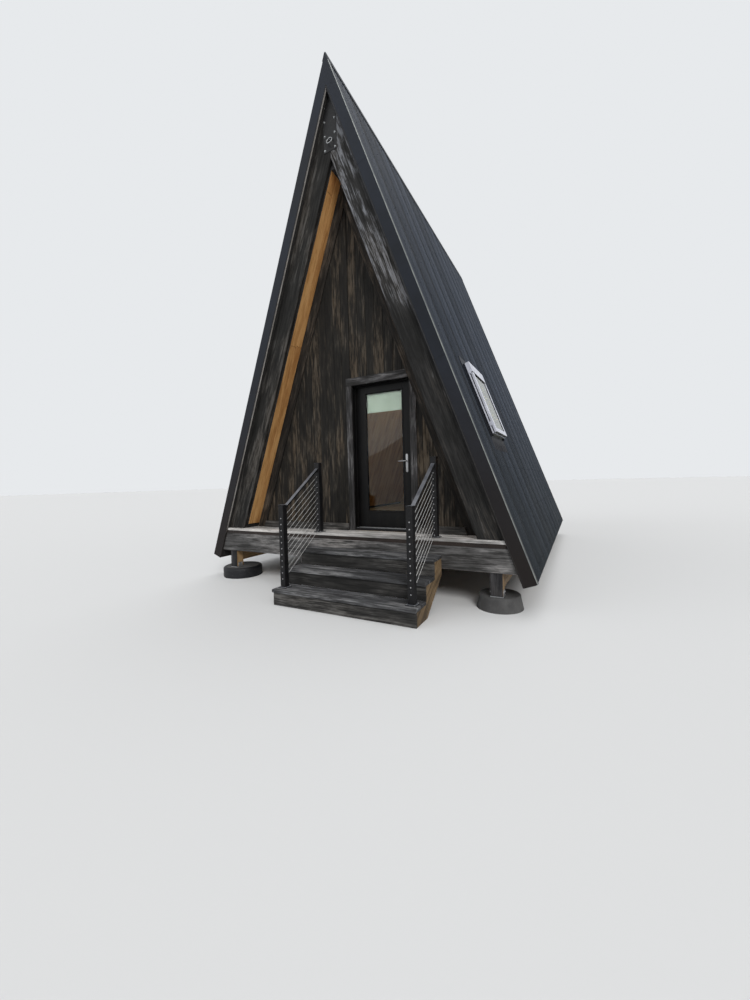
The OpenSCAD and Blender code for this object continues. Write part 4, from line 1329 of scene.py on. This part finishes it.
# The down-slope faces at the lower end take the painted shade.
paint_faces(clad_mesh, 1, lambda f: f.normal.x > 0.7 and f.calc_center_median().x > WIN_T1 - 0.02)
clad_mesh, clad_paints = on_both_slopes(clad_mesh), [cladding, lower_edge]
make_piece("window_cladding_set", clad_mesh, clad_paints, ["window_sashes"])
seal_mesh = frame_ring(0.004, 0.030, FRAME_UP - 0.004, FRAME_UP + 0.010, 0.001)
lip_low = (WIN_T0 + 0.142, WIN_Y0 - 0.009, 0.010)
join_into(seal_mesh, block(lip_low, (WIN_T0 + 0.152, WIN_Y1 + 0.009, WIN_UP + 0.0025), 0.001))
join_into(seal_mesh, frame_ring(SASH_BAR - 0.004, SASH_BAR + 0.006, WIN_UP - 0.012, WIN_UP - 0.004, 0.001))
make_piece("window_seals", on_both_slopes(seal_mesh), [rubber])
PANE_IN = SASH_BAR - 0.006
pane_mesh = block(
    (WIN_T0 + PANE_IN, WIN_Y0 + PANE_IN, WIN_UP - 0.032),
    (WIN_T1 - PANE_IN, WIN_Y1 - PANE_IN, WIN_UP - 0.010), 0.001,
)
green_glass = tinted_glass(
    "tinted_roof_glass", (0.45, 0.55, 0.47), (0.25, 0.04), 1.0, (0.34, 0.42, 0.33), (0.50, 0.58, 0.48),
    0.02, 1.22,
)
make_piece("window_panes", on_both_slopes(pane_mesh), [green_glass], ["window_glass"])

APRON_L, APRON_GAUGE = 0.230, 0.0015
skirt_mesh = bmesh.new()
bmesh.ops.create_grid(skirt_mesh, x_segments=10, y_segments=48, size=0.5)
for vert in skirt_mesh.verts:
    s, at = vert.co.x + 0.5, WIN_Y0 - 0.06 + (vert.co.y + 0.5) * (WIN_W + 0.12)
    drape = min(1.0, s * 1.6) * (RIB_DEPTH / 2 * (rib_at(at) - 1)) * 0.8
    vert.co = Vector((WIN_T1 + 0.006 + s * (APRON_L - 0.006), at, 0.0025 + drape))
for face in skirt_mesh.faces:
    face.normal_update()
    if face.normal.z < 0:
        face.normal_flip()
bmesh.ops.solidify(skirt_mesh, geom=skirt_mesh.faces[:], thickness=APRON_GAUGE)
for y0, y1 in ((WIN_Y0 - 0.075, WIN_Y0 - 0.008), (WIN_Y1 + 0.008, WIN_Y1 + 0.075)):
    join_into(skirt_mesh, block((WIN_T0 - 0.10, y0, 0.0005), (WIN_T1 + 0.02, y1, 0.0035), 0.001))
head_low = (WIN_T0 - 0.14, WIN_Y0 - 0.06, 0.0005)
join_into(skirt_mesh, block(head_low, (WIN_T0 - 0.008, WIN_Y1 + 0.06, 0.004), 0.001))
for y in (WIN_Y0 - 0.012, WIN_Y1 + 0.012):
    join_into(skirt_mesh, block((WIN_T0 - 0.01, y - 0.003, 0.002), (WIN_T1 + 0.04, y + 0.003, 0.030), 0.001))
make_piece("window_flashings", on_both_slopes(skirt_mesh), [trim_paint], ["window_aprons"], 40)


# Stair: stringers sawn from natural planks, dark risers and weathered treads
# of two boards each.
riser_wood = wood(
    "dark_riser_wood", (0.011, 0.0108, 0.0105), (0.033, 0.032, 0.031), (0.12, 0.118, 0.115),
    (0.060, 0.052, 0.044),
)
tread_wood = wood(
    "weathered_tread_wood", (0.017, 0.017, 0.0175), (0.058, 0.059, 0.063), (0.22, 0.225, 0.235),
    (0.10, 0.092, 0.082), warmth=0.25, knot=0.09,
)
stringer_wood = wood(
    "stained_stringer_wood", (0.045, 0.032, 0.020), (0.125, 0.086, 0.048), (0.26, 0.185, 0.11),
    (0.15, 0.095, 0.045), warmth=0.4, streak=0.07, knot=0.09, rough=0.7, relief=0.0008,
)
UP_STAIR = (0, 0.816, 0.578)


def in_two(solid):
    """Saws a tread into its front and its back board."""
    seam_y = middle_of(solid.verts)[1] + 0.006
    front = solid.copy()
    saw(front, Vector((0, seam_y - 0.002, 0)), Vector(ALONG_Y))
    saw(solid, Vector((0, seam_y + 0.002, 0)), -Vector(ALONG_Y))
    return [front, solid]


timber_piece("stringers", "stair_stringers", UP_STAIR, stringer_wood)
timber_piece("tread_boards", "stair_treads", ALONG_X, tread_wood, 0.004, in_two)
timber_piece("riser_boards", "stair_risers", ALONG_X, riser_wood)


# Rails: square black steel posts on bolted feet, a flat top bar, and
# stainless cables that end in fittings through the posts.
# A lighter black for the faces that look up: a painted highlight.
rail_top_highlight = weathered(
    "rail_top_painted_highlight", (0.04, 0.042, 0.05), (0.2, 0.03), (0.055, 0.058, 0.068), (0.15, 0.156, 0.175),
    gloss=(0.38, 0.1),
)[0]
for name, node, width, facing_up in (
    ("rail_uprights", "rail_posts", 0.004, 0.5), ("rail_top_bars", "rail_bars", 0.005, 0.4),
):
    steel_mesh = bmesh.new()
    for solid in solids(node):
        ease(solid, width, 2)
        join_into(steel_mesh, solid)
    # Faces that look up take the painted highlight.
    paint_faces(steel_mesh, 1, lambda f: f.normal.z > facing_up)
    make_piece(name, steel_mesh, [black_steel, rail_top_highlight], [node])


def end_of(spots, y):
    """The middle of the points at one end of a cable."""
    near = [p for p in spots if abs(p.y - y) < 0.004]
    return sum(near, Vector()) / len(near)


def stud(mesh, place, radius, flat):
    """Adds a rounded stud, flattened front to back."""
    shape = bmesh.new()
    bmesh.ops.create_uvsphere(shape, u_segments=14, v_segments=8, radius=radius)
    bmesh.ops.scale(shape, vec=(1, flat, 1), verts=shape.verts[:])
    bmesh.ops.translate(shape, vec=place, verts=shape.verts[:])
    join_into(mesh, shape)


CABLE_R, POST = 0.0025, 0.076
cable_mesh, fitting_mesh = bmesh.new(), bmesh.new()
for solid in solids("rail_cables"):
    low, high = span_of(solid.verts)
    spots = [v.co.copy() for v in solid.verts]
    solid.free()
    front, back = end_of(spots, low.y), end_of(spots, high.y)
    way = (back - front).normalized()
    rod(cable_mesh, (front + back) / 2, CABLE_R, (back - front).length, 12, turn=toward(way))
    for end in (front + way * 0.030, back - way * 0.030):
        rod(fitting_mesh, end, 0.0042, 0.055, 14, turn=toward(way))
    stud(fitting_mesh, (front.x, front.y - POST - 0.001, front.z - POST * way.z / way.y * 0.5), 0.0085, 0.45)
    stud(fitting_mesh, (back.x, back.y - 0.001, back.z), 0.0075, 0.5)
cable_steel, tree, shader = new_material("bright_cable_steel", (0.8, 0.8, 0.8))
twist = noise(tree, stretch(tree, here(tree), (500.0, 90.0, 90.0)), 1.0, 2.0)
twist_tone = colour_mix(tree, twist, (0.44, 0.435, 0.43), (0.68, 0.68, 0.67))
twist_gloss = calc(tree, "MULTIPLY_ADD", twist, 0.15, 0.35)
dress(tree, shader, {"Base Color": twist_tone, "Metallic": 0.6, "Roughness": twist_gloss})
make_piece("rail_cable_runs", cable_mesh, [cable_steel], ["rail_cables"], smooth=40)
make_piece("rail_cable_fittings", fitting_mesh, [stainless], smooth=40)

FOOT_BOLT = 0.049
foot_bolts = bmesh.new()
for solid in solids("rail_posts"):
    low, high = span_of(solid.verts)
    solid.free()
    x, y = (low.x + high.x) / 2, (low.y + high.y) / 2
    for dx in (-FOOT_BOLT, FOOT_BOLT):
        for dy in (-FOOT_BOLT, FOOT_BOLT):
            join_into(foot_bolts, bolt((x + dx, y + dy, low.z + 0.010), UPRIGHT, 0.0065, 0.005, 0.0105))
make_piece("rail_foot_bolts", foot_bolts, [stainless], smooth=30)


low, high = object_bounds()
